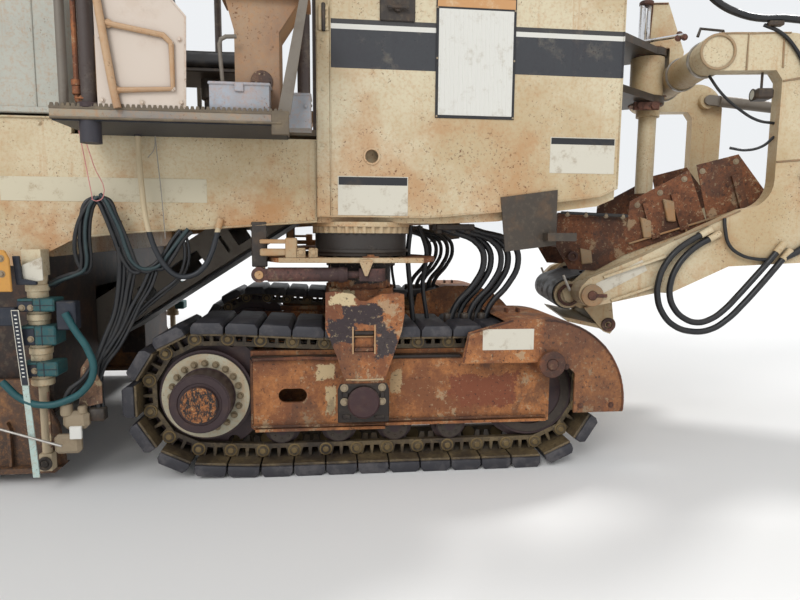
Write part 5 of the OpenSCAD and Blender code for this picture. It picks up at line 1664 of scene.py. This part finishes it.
@dataclass(frozen=True)
class HoseRun:
    """One free hanging hose: its node, body, route and thickness, in metres."""

    node: str
    body: str
    place: Matrix
    diameter: float
    route: tuple[Point, ...]

    def build(self, material: Material) -> None:
        """Lays the hose as one smooth curve through its route, in place of its plain solid.

        Args:
            material: The hose's finish.
        """
        piece = curve(f"{self.node}_run", [self.place @ Vector(point) for point in self.route],
                      self.diameter / 2, 4, 6)
        piece.data.materials.append(material)
        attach(piece, self.body)
        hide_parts(self.node)
        tuple(self.place @ Vector(self.route[0]))


HOSES = (
    HoseRun("boom_hose_outer", "swing", KING, 0.04, ((0.15, -0.751, 1.33), (0.09, -0.756, 1.296),
        (0.0, -0.766, 1.228), (-0.07, -0.776, 1.14), (-0.108, -0.782, 1.04), (-0.112, -0.784, 0.93),
        (-0.074, -0.784, 0.822), (0.006, -0.784, 0.738), (0.118, -0.784, 0.702), (0.236, -0.784, 0.716),
        (0.344, -0.78, 0.786), (0.436, -0.774, 0.882), (0.52, -0.768, 0.982), (0.602, -0.76, 1.084),
        (0.676, -0.751, 1.178))),
    HoseRun("boom_hose_inner", "swing", KING, 0.04, ((0.206, -0.751, 1.304), (0.146, -0.756, 1.27),
        (0.066, -0.766, 1.204), (0.004, -0.776, 1.122), (-0.03, -0.782, 1.03), (-0.034, -0.786, 0.934),
        (0.0, -0.788, 0.85), (0.066, -0.788, 0.788), (0.15, -0.788, 0.762), (0.236, -0.786, 0.786),
        (0.318, -0.782, 0.848), (0.402, -0.774, 0.94), (0.486, -0.766, 1.04), (0.566, -0.758, 1.136),
        (0.634, -0.751, 1.222))),
    HoseRun("side_hose", "chassis", STATION, 0.028, ((-1.118, -1.27, 1.8), (-1.118, -1.27, 1.73),
        (-1.11, -1.284, 1.634), (-1.1, -1.298, 1.53), (-1.09, -1.308, 1.43), (-1.072, -1.308, 1.33),
        (-1.044, -1.304, 1.236), (-1.002, -1.298, 1.158), (-0.944, -1.29, 1.108), (-0.876, -1.28, 1.11),
        (-0.82, -1.27, 1.152), (-0.784, -1.262, 1.216), (-0.762, -1.252, 1.286), (-0.748, -1.238, 1.35))),
)


@dataclass
class JumperHoses(Trim):
    """Clamped hydraulic lines: a bundle to each leg and strands beside the drum's lift posts."""

    deck_under: float = 1816

    def leg_lines(self, corner: Corner) -> None:
        """Bends five lines from a block under the tank down to the track's motor.

        Args:
            corner: Which crawler.
        """
        starts = [(445 + 42 * i, -20 + 35 * (i % 2), 1372) for i in range(5)]
        lines = []
        for i, (x, y, z) in enumerate(starts):
            reach = 600 + 52 * i
            lines.append(tube([(x, y, z), (x + 50, y, z - 20), (reach + 90, y + 20, z - 105),
                               (reach + 125, y + 30, z - 210), (reach + 70, y + 40, z - 340),
                               (reach - 30, y + 50, z - 460), (reach - 70, y + 50, 815)], 19 - i % 3))
        lines.append(tube([(290, 20, 1376), (275, 20, 1200), (290, 30, 1020), (310, 30, 815)], 15))
        lines.append(tube([(340, 60, 1376), (390, 60, 1220), (370, 60, 1050), (400, 60, 815)], 13))
        ends = [ring((515 + 52 * i, 30 + 35 * (i % 2), 810), (515 + 52 * i, 30 + 35 * (i % 2), 860), 24, 12,
                     12) for i in range(5)]
        piece = self.piece(f"leg_lines_{corner.label}", [*lines, *self.paint(ends, "dark_iron")],
                           "black_hose", None, corner.place, 60)
        corner.body
        tuple(corner.place @ Vector((0.6, 0.0, 1.34)))
        tuple(corner.place @ Vector((0.6, 0.0, 0.86)))
        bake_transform(piece)
        block = [slab((425, -60, 1350), (650, 70, 1386), 6), slab((-583, -231, 1150), (-504, -198, 1386), 4),
                 *(rod((x, y, 1352), (x, y, 1330), 24, 6) for x, y, _ in starts)]
        self.piece(f"line_block_{corner.label}", block, "dark_iron", "chassis", corner.place)

    def bundle(self, route: Sequence[Point], count: int, spread: float, radius: float) -> list[Piece]:
        """Lays a flat bundle of lines along a route.

        Args:
            route: Middle of the bundle.
            count: Number of lines.
            spread: Step between neighbours.
            radius: Radius of a line.

        Returns:
            The lines.
        """
        made = []
        for i in range(count):
            side = (i - (count - 1) / 2) * spread
            run = [(x + side, y + 11 * (i % 2), z + side * 0.35 * math.cos(2.1 * k + i))
                   for k, (x, y, z) in enumerate(route)]
            made.append(tube(run, radius - 0.8 * (i % 3)))
        return made

    def strands(self) -> None:
        """Ties a looped bundle of lines up beside the drum's lift posts, by thin strings; thin teal lines
        along two bundles are painted sheen.
        """
        fall = [(-1300, -1318, 1500), (-1273, -1326, 1469), (-1247, -1330, 1415), (-1209, -1328, 1318),
                (-1187, -1312, 1219), (-1164, -1300, 1163), (-1128, -1290, 1135), (-1090, -1280, 1132),
                (-1050, -1268, 1148), (-1004, -1254, 1208), (-946, -1238, 1289), (-910, -1232, 1335)]
        back = [(-1308, -1318, 1500), (-1338, -1328, 1468), (-1360, -1330, 1409), (-1373, -1328, 1336),
                (-1378, -1318, 1258), (-1380, -1306, 1189), (-1400, -1292, 1140), (-1452, -1278, 1112),
                (-1527, -1262, 1085), (-1590, -1246, 1058)]
        outer = [(-1312, -1322, 1500), (-1345, -1330, 1462), (-1373, -1334, 1419), (-1404, -1334, 1346),
                 (-1418, -1330, 1287), (-1424, -1314, 1213), (-1412, -1300, 1158), (-1392, -1290, 1128)]
        down = [(-1209, -1318, 1259), (-1216, -1296, 1138), (-1234, -1284, 1015), (-1258, -1282, 913),
                (-1299, -1290, 807), (-1351, -1308, 682), (-1405, -1326, 595), (-1476, -1336, 527),
                (-1500, -1336, 445)]
        near = [(-1164, -1296, 1130), (-1190, -1284, 1035), (-1208, -1282, 953), (-1265, -1288, 806),
                (-1328, -1290, 704), (-1355, -1290, 548), (-1352, -1286, 420)]
        cross = [(-1069, -1282, 1132), (-1102, -1280, 1050), (-1159, -1280, 948), (-1213, -1280, 845),
                 (-1262, -1288, 755), (-1346, -1290, 626), (-1383, -1290, 469), (-1388, -1286, 400)]
        far = [(-930, -1234, 1330), (-914, -1232, 1268), (-917, -1232, 1170), (-955, -1234, 1092),
               (-1050, -1240, 1010), (-1150, -1250, 918), (-1225, -1262, 827), (-1300, -1268, 700)]
        lines = [*self.bundle(fall, 5, 14, 11.5), *self.bundle(back, 4, 13, 10.5),
                 *self.bundle(outer, 1, 0, 10), *self.bundle(down, 2, 18, 12.5),
                 *self.bundle(near, 2, 16, 10.5), *self.bundle(cross, 3, 20, 10),
                 *self.bundle(far, 2, 18, 9)]
        # Painted highlight: a thin teal line along the top and outer side of two black bundles, for their
        # sheen.
        teal = [*self.bundle([(x + 12, y - 12, z + 12) for x, y, z in fall], 1, 0, 9.5),
                *self.bundle([(x + 10, y - 12, z) for x, y, z in back], 1, 0, 8)]
        under = self.deck_under
        pink = [tube([(-1372, -1330, under), (-1345, -1334, 1640), (-1322, -1336, 1482)], 2.2, 1),
                tube([(-1358, -1330, under), (-1310, -1336, 1650), (-1268, -1346, 1500),
                      (-1300, -1346, 1478), (-1325, -1342, 1486)], 2.2, 1)]
        grey = [tube([(-1041, -1250, under), (-1034, -1250, 1700), (-1022, -1246, 1520),
                      (-1016, -1246, 1400), (-1012, -1242, 1296)], 2.6, 1),
                tube([(-1041, -1250, under), (-1050, -1248, 1740), (-1082, -1246, 1700)], 2.2, 1)]
        ends = slab((-1420, -1310, 360), (-1330, -1250, 430), 8)
        extra = self.coats(teal_hose=teal, pink_string=pink, grey_string=grey, dark_iron=[ends])
        self.piece("side_strands", [*lines, *extra], "black_hose", "chassis", smooth=60)

    def build(self) -> None:
        """Builds the bundles at the four legs and the strands on the right."""
        for corner in Corner:
            self.leg_lines(corner)
        self.strands()


@dataclass
class LiftPostTrim(Trim):
    """Clamps, sleeve seals, a bare ruler strip and the coupling rod on the drum's lift posts."""

    y: float = -1262

    def post(self, x: float) -> list[Piece]:
        """Models the clamps and seals of one barrel.

        Args:
            x: Station of the barrel.

        Returns:
            The parts, each with its finish.
        """
        y = self.y
        clamps, dark = [], []
        for z, high in ((968, 32), (816, 48), (646, 36)):
            clamps.append(slab((x + 10, y - 90, z - high), (x + 110, y + 36, z + high), 7))
            clamps.append(slab((x - 60, y - 86, z + high - 12), (x + 12, y + 30, z + high)))
            dark.append(slab((x - 64, y - 84, z - high), (x + 12, y + 30, z + high - 10), 5))
            dark += [slab((x + 45, y - 91.5, z - high), (x + 49, y - 89, z + high), 0),
                     slab((x + 10, y - 91.5, z - 2), (x + 110, y - 89, z + 2), 0)]
        heads = bolts([(x + dx, y - 84, z) for dx, z in ((-40, 956), (0, 956), (-8, 800), (0, 640))], OUT,
                      11)
        seals = [ring((x, y, z), (x, y, z + 35), 54, 46, 28, 3) for z in (552, 712, 884, 1030)]
        return self.coats(teal_paint=clamps, cream_paint=seals, navy_block=dark, pale_bolt=[heads])

    def extras(self, x: float) -> list[Piece]:
        """Models the ruler, the pale rods, the looped line and the castings of the front post.

        Args:
            x: Station of the post.

        Returns:
            The parts, each with its finish.
        """
        y = self.y - 110
        ruler = plate([(x - 74, 945), (x - 46, 945), (x - 20, 578), (x - 48, 578)], (y - 4, y), bevel=0)
        edge = plate([(x - 78, 949), (x - 42, 949), (x - 16, 574), (x - 52, 574)], (y - 2, y + 1), bevel=0)
        marks = [slab((x - 64 + 1.3 * i, y - 5.2, 920 - 19 * i), (x - 52 + 1.3 * i, y - 3.8, 926 - 19 * i),
                      0) for i in range(17)]
        pale = plate([(x - 50, 578), (x - 20, 578), (x + 6, 100), (x - 26, 100)], (y - 2, y + 6), bevel=1)
        bar = tube([(x - 156, y - 20, 362), (x + 127, y - 20, 266)], 6.5, 2, False)
        # Painted reflection: the looped black hose is coloured teal, for the sheen on it.
        loop = tube([(x + 160, y + 20, 930), (x + 200, y + 20, 850), (x + 262, y + 18, 740),
                     (x + 282, y + 16, 640), (x + 240, y + 16, 550), (x + 150, y + 14, 490),
                     (x + 40, y + 14, 468), (x - 60, y + 14, 500), (x - 150, y + 16, 590)], 17.5, 4)
        box = [slab((x + 113, y + 30, 842), (x + 204, y + 100, 985), 6),
               slab((x - 140, y + 4, 870), (x - 64, y + 40, 960), 4),
               plate([(x - 63, 1210), (x - 34, 1210), (x - 26, 1100), (x + 40, 1086), (x + 40, 1070),
                      (x - 52, 1070)], (y + 10, y + 30))]
        tag = plate([(x - 32, 1098), (x - 32, 1165), (x + 62, 1205), (x + 62, 1090), (x + 30, 1084)],
                    (y + 34, y + 42))
        link = [plate([(x - 150, 1040), (x - 54, 1040), (x - 58, 1200), (x - 76, 1238), (x - 130, 1246),
                       (x - 150, 1200)], (y - 30, y - 16), bevel=4)]
        pins = bolts([(x - 94, y - 30, 1200), (x - 94, y - 30, 1126)])
        casting = [slab((x + 110, y + 30, 330), (x + 236, y + 90, 425), 20),
                   rod((x + 130, y + 50, 400), (x + 130, y + 50, 470), 30, 20, 8),
                   rod((x + 206, y + 50, 410), (x + 206, y + 50, 452), 22, 16, 6),
                   slab((x + 60, y + 40, 200), (x + 190, y + 90, 300), 16)]
        white = [slab((x + 150, y + 16, 286), (x + 208, y + 34, 352))]
        flap = plate([(x + 180, 430), (x + 296, 455), (x + 296, 560), (x + 240, 700), (x + 200, 640)],
                     (y + 70, y + 80), bevel=1)
        streak = slab((x + 34, self.y - 47.5, 230), (x + 42, self.y - 30, 520), 1)
        return self.coats(label_sheet=[edge, tag], navy_block=[ruler, *box], white_sheet=[*marks, *white],
                          pale_teal=[pale], bright_tube=[bar], teal_loop=[loop], link_orange=link,
                          pale_bolt=[*casting, pins], desk_rust=[flap, streak])

    def build(self) -> None:
        """Builds the four posts; the strip and lines are on the front right-hand one."""
        for side, place in SIDES:
            parts = [part for x in POST_XS for part in self.post(x)]
            if side == "right":
                parts += self.extras(POST_XS[0])
            self.piece(f"lift_trim_{side}", parts, "teal_paint", "chassis", place)


@dataclass
class CutterTrim(Trim):
    """Bolts, wear strips and lift rods' eyes of the side plates, and the moldboard's edge."""

    def gate(self, side: str, place: Matrix) -> None:
        """Builds the wear shoe, bolts, stiffeners and eyes of one side plate.

        Args:
            side: Side of the machine.
            place: Frame of that side.
        """
        y = -1190
        x0, x1 = -3200, -1630
        shoe = slab((x0, -1238, 66.5), (x1, -1232, 94), 2)
        heads = bolts([(x0 + 120 + 220 * i, y - 1, 300) for i in range(7)], OUT, 13)
        ribs = [plate([(x, 100), (x + 16, 100), (x + 16, 300), (x, 340)], (y - 30, y + 1))
                for x in (-2950, -2400, -1850)]
        eyes = [ring((x, -1296, 143), (x, -1308, 143), 36, 20, 24, 3) for x in POST_XS]
        pins = bolts([(x, -1292, 143) for x in POST_XS], OUT, 20, 18)
        self.piece(f"gate_trim_{side}", [shoe, heads, *ribs, *self.paint([*eyes, pins], "dark_iron")],
                   "gate_steel", f"gate_{side}", place)

    def build(self) -> None:
        """Builds both side plates' trim and the moldboard's bolted edge."""
        for side, place in SIDES:
            self.gate(side, place)
        x = BLADE_X
        edge = slab((x - 80, -1040, 112), (x - 70, 1040, 200))
        heads = bolts([(x - 80, -960 + 240 * i, 160) for i in range(9)], (-1, 0, 0), 14)
        self.piece("moldboard_edge", [edge, heads], "rust_plain", "blade")


@dataclass
class GooseneckTrim(Trim):
    """Welds, pins, lugs, rods, the work lamp and lines on the gooseneck arms and post."""

    face: float = -730
    arm_z: float = 2481

    def arm(self) -> list[Piece]:
        """Lays the weld seams and caps of one arm."""
        y = self.face - 1
        z = self.arm_z
        seams = [[(375, y, z + 112), (375, y, z - 112)], [(590, y, z + 112), (596, y, z - 100)],
                 [(604, y, 2300), (838, y, 2340)], [(602, y, 1800), (838, y, 1820)],
                 [(193, y, z + 112), (630, y, z + 112)], [(-4, y, 1300), (400, y, 1490)]]
        pin = BOOM_PIN
        boss = ring((pin.x, self.face, pin.z), (pin.x, self.face - 20, pin.z), 74, 30, 36, 4)
        head = rod((pin.x, self.face - 8, pin.z), (pin.x, self.face - 28, pin.z), 31, 24, 4)
        lock = slab((pin.x + 10, self.face - 26, pin.z - 12), (pin.x + 95, self.face - 18, pin.z + 12))
        end = ring((193, self.face, z), (193, self.face - 12, z), 112, 96, 40, 3)
        return self.coats(arm_paint=[*(bead(run) for run in seams), boss, end], cap_rust=[head, lock])

    def front_fittings(self) -> list[Piece]:
        """Models what only the right-hand arm carries: lamp, blank plate, clamps and thin lines."""
        y = self.face
        lamp = [slab((452, y + 2, 2196), (560, y + 112, 2262), 12),
                rod((505, y + 60, 2262), (505, y + 60, 2368), 8, 12),
                ring((446, y + 58, 2229), (456, y + 58, 2229), 38, 29, 24, 3)]
        glass = rod((449, y + 58, 2229), (455, y + 58, 2229), 30, 24, 1)
        label = plate([(-498, 1004), (-203, 1166), (-168, 1096), (-462, 932)], (y - 2, y + 1), bevel=0.8)
        lines = [tube([(100, y + 20, 2860), (190, y + 10, 2775), (300, y, 2715), (420, y - 10, 2680),
                       (600, y - 15, 2672), (760, y - 20, 2630), (860, y - 20, 2500), (868, y - 18, 2250),
                       (862, y - 16, 1950), (858, y - 14, 1640), (900, y - 16, 1480), (870, y - 18, 1330),
                       (780, y - 20, 1240), (690, y - 22, 1190)], 22),
                 tube([(460, y - 4, 2640), (560, y - 14, 2590), (650, y - 16, 2500), (720, y - 14, 2380),
                       (770, y - 12, 2150), (800, y - 12, 1850), (810, y - 12, 1560)], 11),
                 tube([(300, y - 10, 1440), (302, y - 26, 1370), (330, y - 34, 1270), (410, y - 34, 1205),
                       (510, y - 30, 1180), (600, y - 12, 1176)], 11),
                 tube([(190, y + 100, 2360), (260, y + 60, 2240), (370, y + 50, 2140), (490, y + 50, 2070),
                       (600, y + 60, 2052)], 9), tube([(330, y + 50, 1895), (430, y + 40, 1880),
            (530, y + 40, 1905), (602, y + 50, 1965)], 9)]
        clamps = [slab((x - 45, y - 44, z - 14), (x + 45, y + 2, z + 14), 4)
                  for x, z in ((800, 2300), (800, 1700), (520, 2640))]
        fittings = [rod((x, y - 10, z), (x + 60, y - 8, z + 30), 26, 6)
                    for x, z in ((140, 1325), (196, 1300))]
        hoop = tube([(85, y + 55, 2590), (100, y + 55, 2640), (240, y + 55, 2625), (250, y + 55, 2590)], 10,
                    2, False)
        return self.coats(dark_iron=[*lamp, *clamps, *fittings, hoop], lamp_glass=[glass],
                          label_sheet=[label], black_hose=lines)

    def post(self) -> list[Piece]:
        """Models the swing post's rods, nuts, lugs and pin heads, and the cross tube's bands."""
        z = self.arm_z
        rods = [rod((-85, -95, 2640), (-85, -95, 2990), 22, 24), rod((-40, -95, 2640), (-40, -95, 2990), 14),
                rod((-140, -160, 2708), (130, -330, 2708), 13)]
        caps = [ring((-85, -95, 2636), (-85, -95, 2664), 36, 21, 24, 3),
                rod((-60, -95, 2985), (-60, -95, 3015), 50, 24, 6),
                bolts([(95, -320, 2690), (130, -340, 2690), (110, -300, 2720)], OUT, 16),
                bolts(circle((0, 0, 2704), 50, 6, Plane.LEVEL), UP, 10)]
        lugs = [plate([(-135, 2238), (50, 2238), (50, 2296), (-135, 2296)], (-165, -135), bevel=4),
                rod((-90, -133, 2267), (-90, -180, 2267), 26), rod((10, -133, 2267), (10, -180, 2267), 26)]
        bands = [ring((193, y, z), (193, y + 22, z), 119, 107.2, 40, 3) for y in (-560, -180, 158, 540)]
        web = bead([(-20, -64, 2712), (-4, -64, 3010), (104, -64, 3010)])
        return self.coats(chrome=rods, cap_rust=[*caps, *lugs], bright_tube=bands, fender_rust=[web])

    def build(self) -> None:
        """Builds both arms and the post."""
        right = [*self.arm(), *self.front_fittings()]
        self.piece("arm_trim_right", right, "arm_paint", "swing", KING)
        self.piece("arm_trim_left", self.arm(), "arm_paint", "swing", KING @ LEFT)
        self.piece("post_trim", self.post(), "cap_rust", "swing", KING)
        eyes = bolts([(x, y, z) for x in (2050, 2300) for y in (-85, 85) for z in (2350, 2690)], UP)
        rims = [ring((2200, 0, z), (2200, 0, z + 8), 124, 74, 36) for z in (2690, 2292)]
        heads = bolts([(1441, side * 650, z) for side in (-1, 1) for z in (2420, 2520, 2680)], (1, 0, 0), 16)
        self.piece("bracket_trim", [eyes, *rims, heads], "rust_plain", "chassis")


@dataclass
class BoomTrim(Trim):
    """Bolts, cast plates, rubber strip, idlers' ends and troughing frames of the loading boom."""

    length: float = 7000
    half: float = 430

    def foot(self) -> list[Piece]:
        """Models the cheek's bolts, boss, cast plates and the scraper's bolts on one side."""
        y = -self.half
        rim = bolts([(-4 + u, y - 45, 577 - 0.368 * u) for u in (50, 170, 300, 410)], OUT, 13)
        boss = ring((0, y - 44, 262), (0, y - 56, 262), 36, 18, 24, 3)
        casts = [plate([(50, 185), (125, 170), (140, 260), (68, 300)], (y - 22, y - 8), bevel=6),
                 plate([(505, 235), (560, 225), (585, 340), (520, 385)], (y - 34, y - 8), bevel=6),
                 plate([(690, 300), (745, 280), (770, 420), (700, 460)], (y - 34, y - 8), bevel=6)]
        skirt = bolts([(530, y - 10, 470), (700, y - 10, 505), (880, y - 10, 545), (1010, y - 10, 560),
                       (1240, y - 10, 555)], OUT, 14)
        strip = plate([(0, 572), (10, 590), (440, 430), (436, 408)], (y - 50, y - 40), bevel=3)
        shackle = tube([(-95, y - 30, 150), (-88, y - 32, 80), (-80, y - 28, 30)], 9)
        pulley = ring((-95, y - 3, 0), (-95, y - 14, 0), 80, 58, 32, 3)
        roller = [ring((116, y - 1, -292), (116, y - 12, -292), 50, 24, 28, 3),
                  rod((116, y - 1, -292), (116, y - 20, -292), 16, 6)]
        motor = [ring((250, y - 95, -20), (250, y - 106, -20), 76, 50, 32, 3),
                 bolts(circle((250, -20, y - 105), 62, 8), OUT, 8)]
        return self.coats(pale_bolt=[rim, skirt], cap_rust=[boss, pulley, *roller], arm_paint=casts,
                          belt_rubber=[strip], white_sheet=[shackle], dark_iron=motor)

    def trusses(self) -> list[Piece]:
        """Models the flanges, idler ends and bolts along one side of the boom."""
        y = -self.half
        flange = [slab((400, y - 26, 222), (self.length - 160, y + 2, 234), 2),
                  slab((-20, y - 26, -126), (self.length + 100, y + 2, -114), 2)]
        ends = [ring((1220 + 640 * i, y - 1, 170), (1220 + 640 * i, y - 12, 170), 30, 10, 20)
                for i in range(9)]
        heads = bolts([(800 + 640 * i + dx, y - 1, z) for i in range(10) for dx, z in ((0, -90), (0, 180))],
                      OUT, 11)
        stiff = [slab((795 + 640 * i, y - 24, -115), (807 + 640 * i, y + 1, 223), 1) for i in range(10)]
        return self.paint([*flange, *ends, heads, *stiff], "arm_paint")

    def build(self) -> None:
        """Builds both sides, and the cleats of the belt."""
        for side, place in (("right", BOOM), ("left", BOOM @ LEFT)):
            self.piece(f"boom_trim_{side}", [*self.foot(), *self.trusses()], "arm_paint", "boom", place)
        cleat = plate([(0, -300), (160, 0), (0, 300), (18, 300), (180, 0), (18, -300)], (110, 124),
                      Plane.LEVEL, 0)
        cleats = copies(cleat, [moved(50 + 420 * i, 0, 0) for i in range(16)])
        self.piece("boom_cleats", [cleats], "belt_rubber", "boom", BOOM)


@dataclass
class CanopyTrim(Trim):
    """Edge trim, cross ribs and work lamps of the canopy."""

    roof: float = 4050

    def build(self) -> None:
        """Builds the canopy's small parts."""
        z = self.roof
        edges = [slab((-1750, side * 1562 - 4, z - 20), (200, side * 1562 + 4, z + 10), 2)
                 for side in (-1, 1)]
        ribs = [slab((x, -1540, z - 30), (x + 30, 1540, z + 1)) for x in (-1400, -800, -200)]
        shells, glass = [], []
        for side in (-1, 1):
            for x, ahead in ((120, 1), (-1660, -1)):
                shells.append(slab((x - 50, side * 1300 - 80, z - 130), (x + 50, side * 1300 + 80, z - 30),
                                   14))
                glass.append(slab((x + ahead * 48, side * 1300 - 66, z - 118),
                                  (x + ahead * 56, side * 1300 + 66, z - 42)))
                shells.append(rod((x, side * 1300, z - 32), (x, side * 1300, z + 1), 14, 16))
        parts = self.coats(canopy_paint=[*edges, *ribs], lamp_glass=glass)
        self.piece("canopy_trim", [*parts, *shells], "dark_iron", "chassis")


NODE_FINISHES = {"main_frame": "chassis_coat", "canopy": "canopy_coat", "side_plate_right": "gate_steel",
                 "side_plate_left": "gate_steel", "steer_barrels": "steer_rust",
                 "cutter_housing": "housing_steel", "side_boxes": "box_paint", "deck": "deck_coat",
                 "slew_drums": "slew_coat", "console": "desk_coat"} | {f"{part}_{corner.label}": finish
    for corner in Corner for part, finish in (("wheels", "hub_dark"), ("leg", "yoke_rust"),
    ("frame", "frame_rust"), ("steer_rod", "steer_rust"))}


def dress_nodes(materials: dict[str, Material]) -> None:
    """Gives every CAD node the finish of its material slot, or its own variant of it.

    Args:
        materials: Finished materials by name.
    """
    for part in frame["record"]["subparts"]:
        node = frame["nodes"][part["node"]]
        node.data.materials.clear()
        node.data.materials.append(materials[NODE_FINISHES.get(part["node"], part["material_slot"])])


def main() -> None:
    """Builds the scene in order and reports each piece."""
    logging.basicConfig(level=logging.INFO, format="%(message)s")
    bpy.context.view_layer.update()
    Camera().build()
    materials = {name: finish.build(name) for group in FINISHES.values() for name, finish in group.items()}
    for hose in HOSES:
        hose.build(materials["sleeved_hose" if hose.node == "side_hose" else "black_hose"])
    Studio().build()
    dress_nodes(materials)
    for corner in Corner:
        for trim in (CrawlerChain, WheelTrim, TrackFrameTrim, SteeringTrim):
            trim(materials).build(corner)
    for trim in (TankTrim, ChassisTrim, HoodTrim, DeckTrim, ControlDesk, JumperHoses, LiftPostTrim,
                 CutterTrim, GooseneckTrim, BoomTrim, CanopyTrim, OperatorSeat):
        trim(materials).build()


if __name__ == "__main__":
    main()
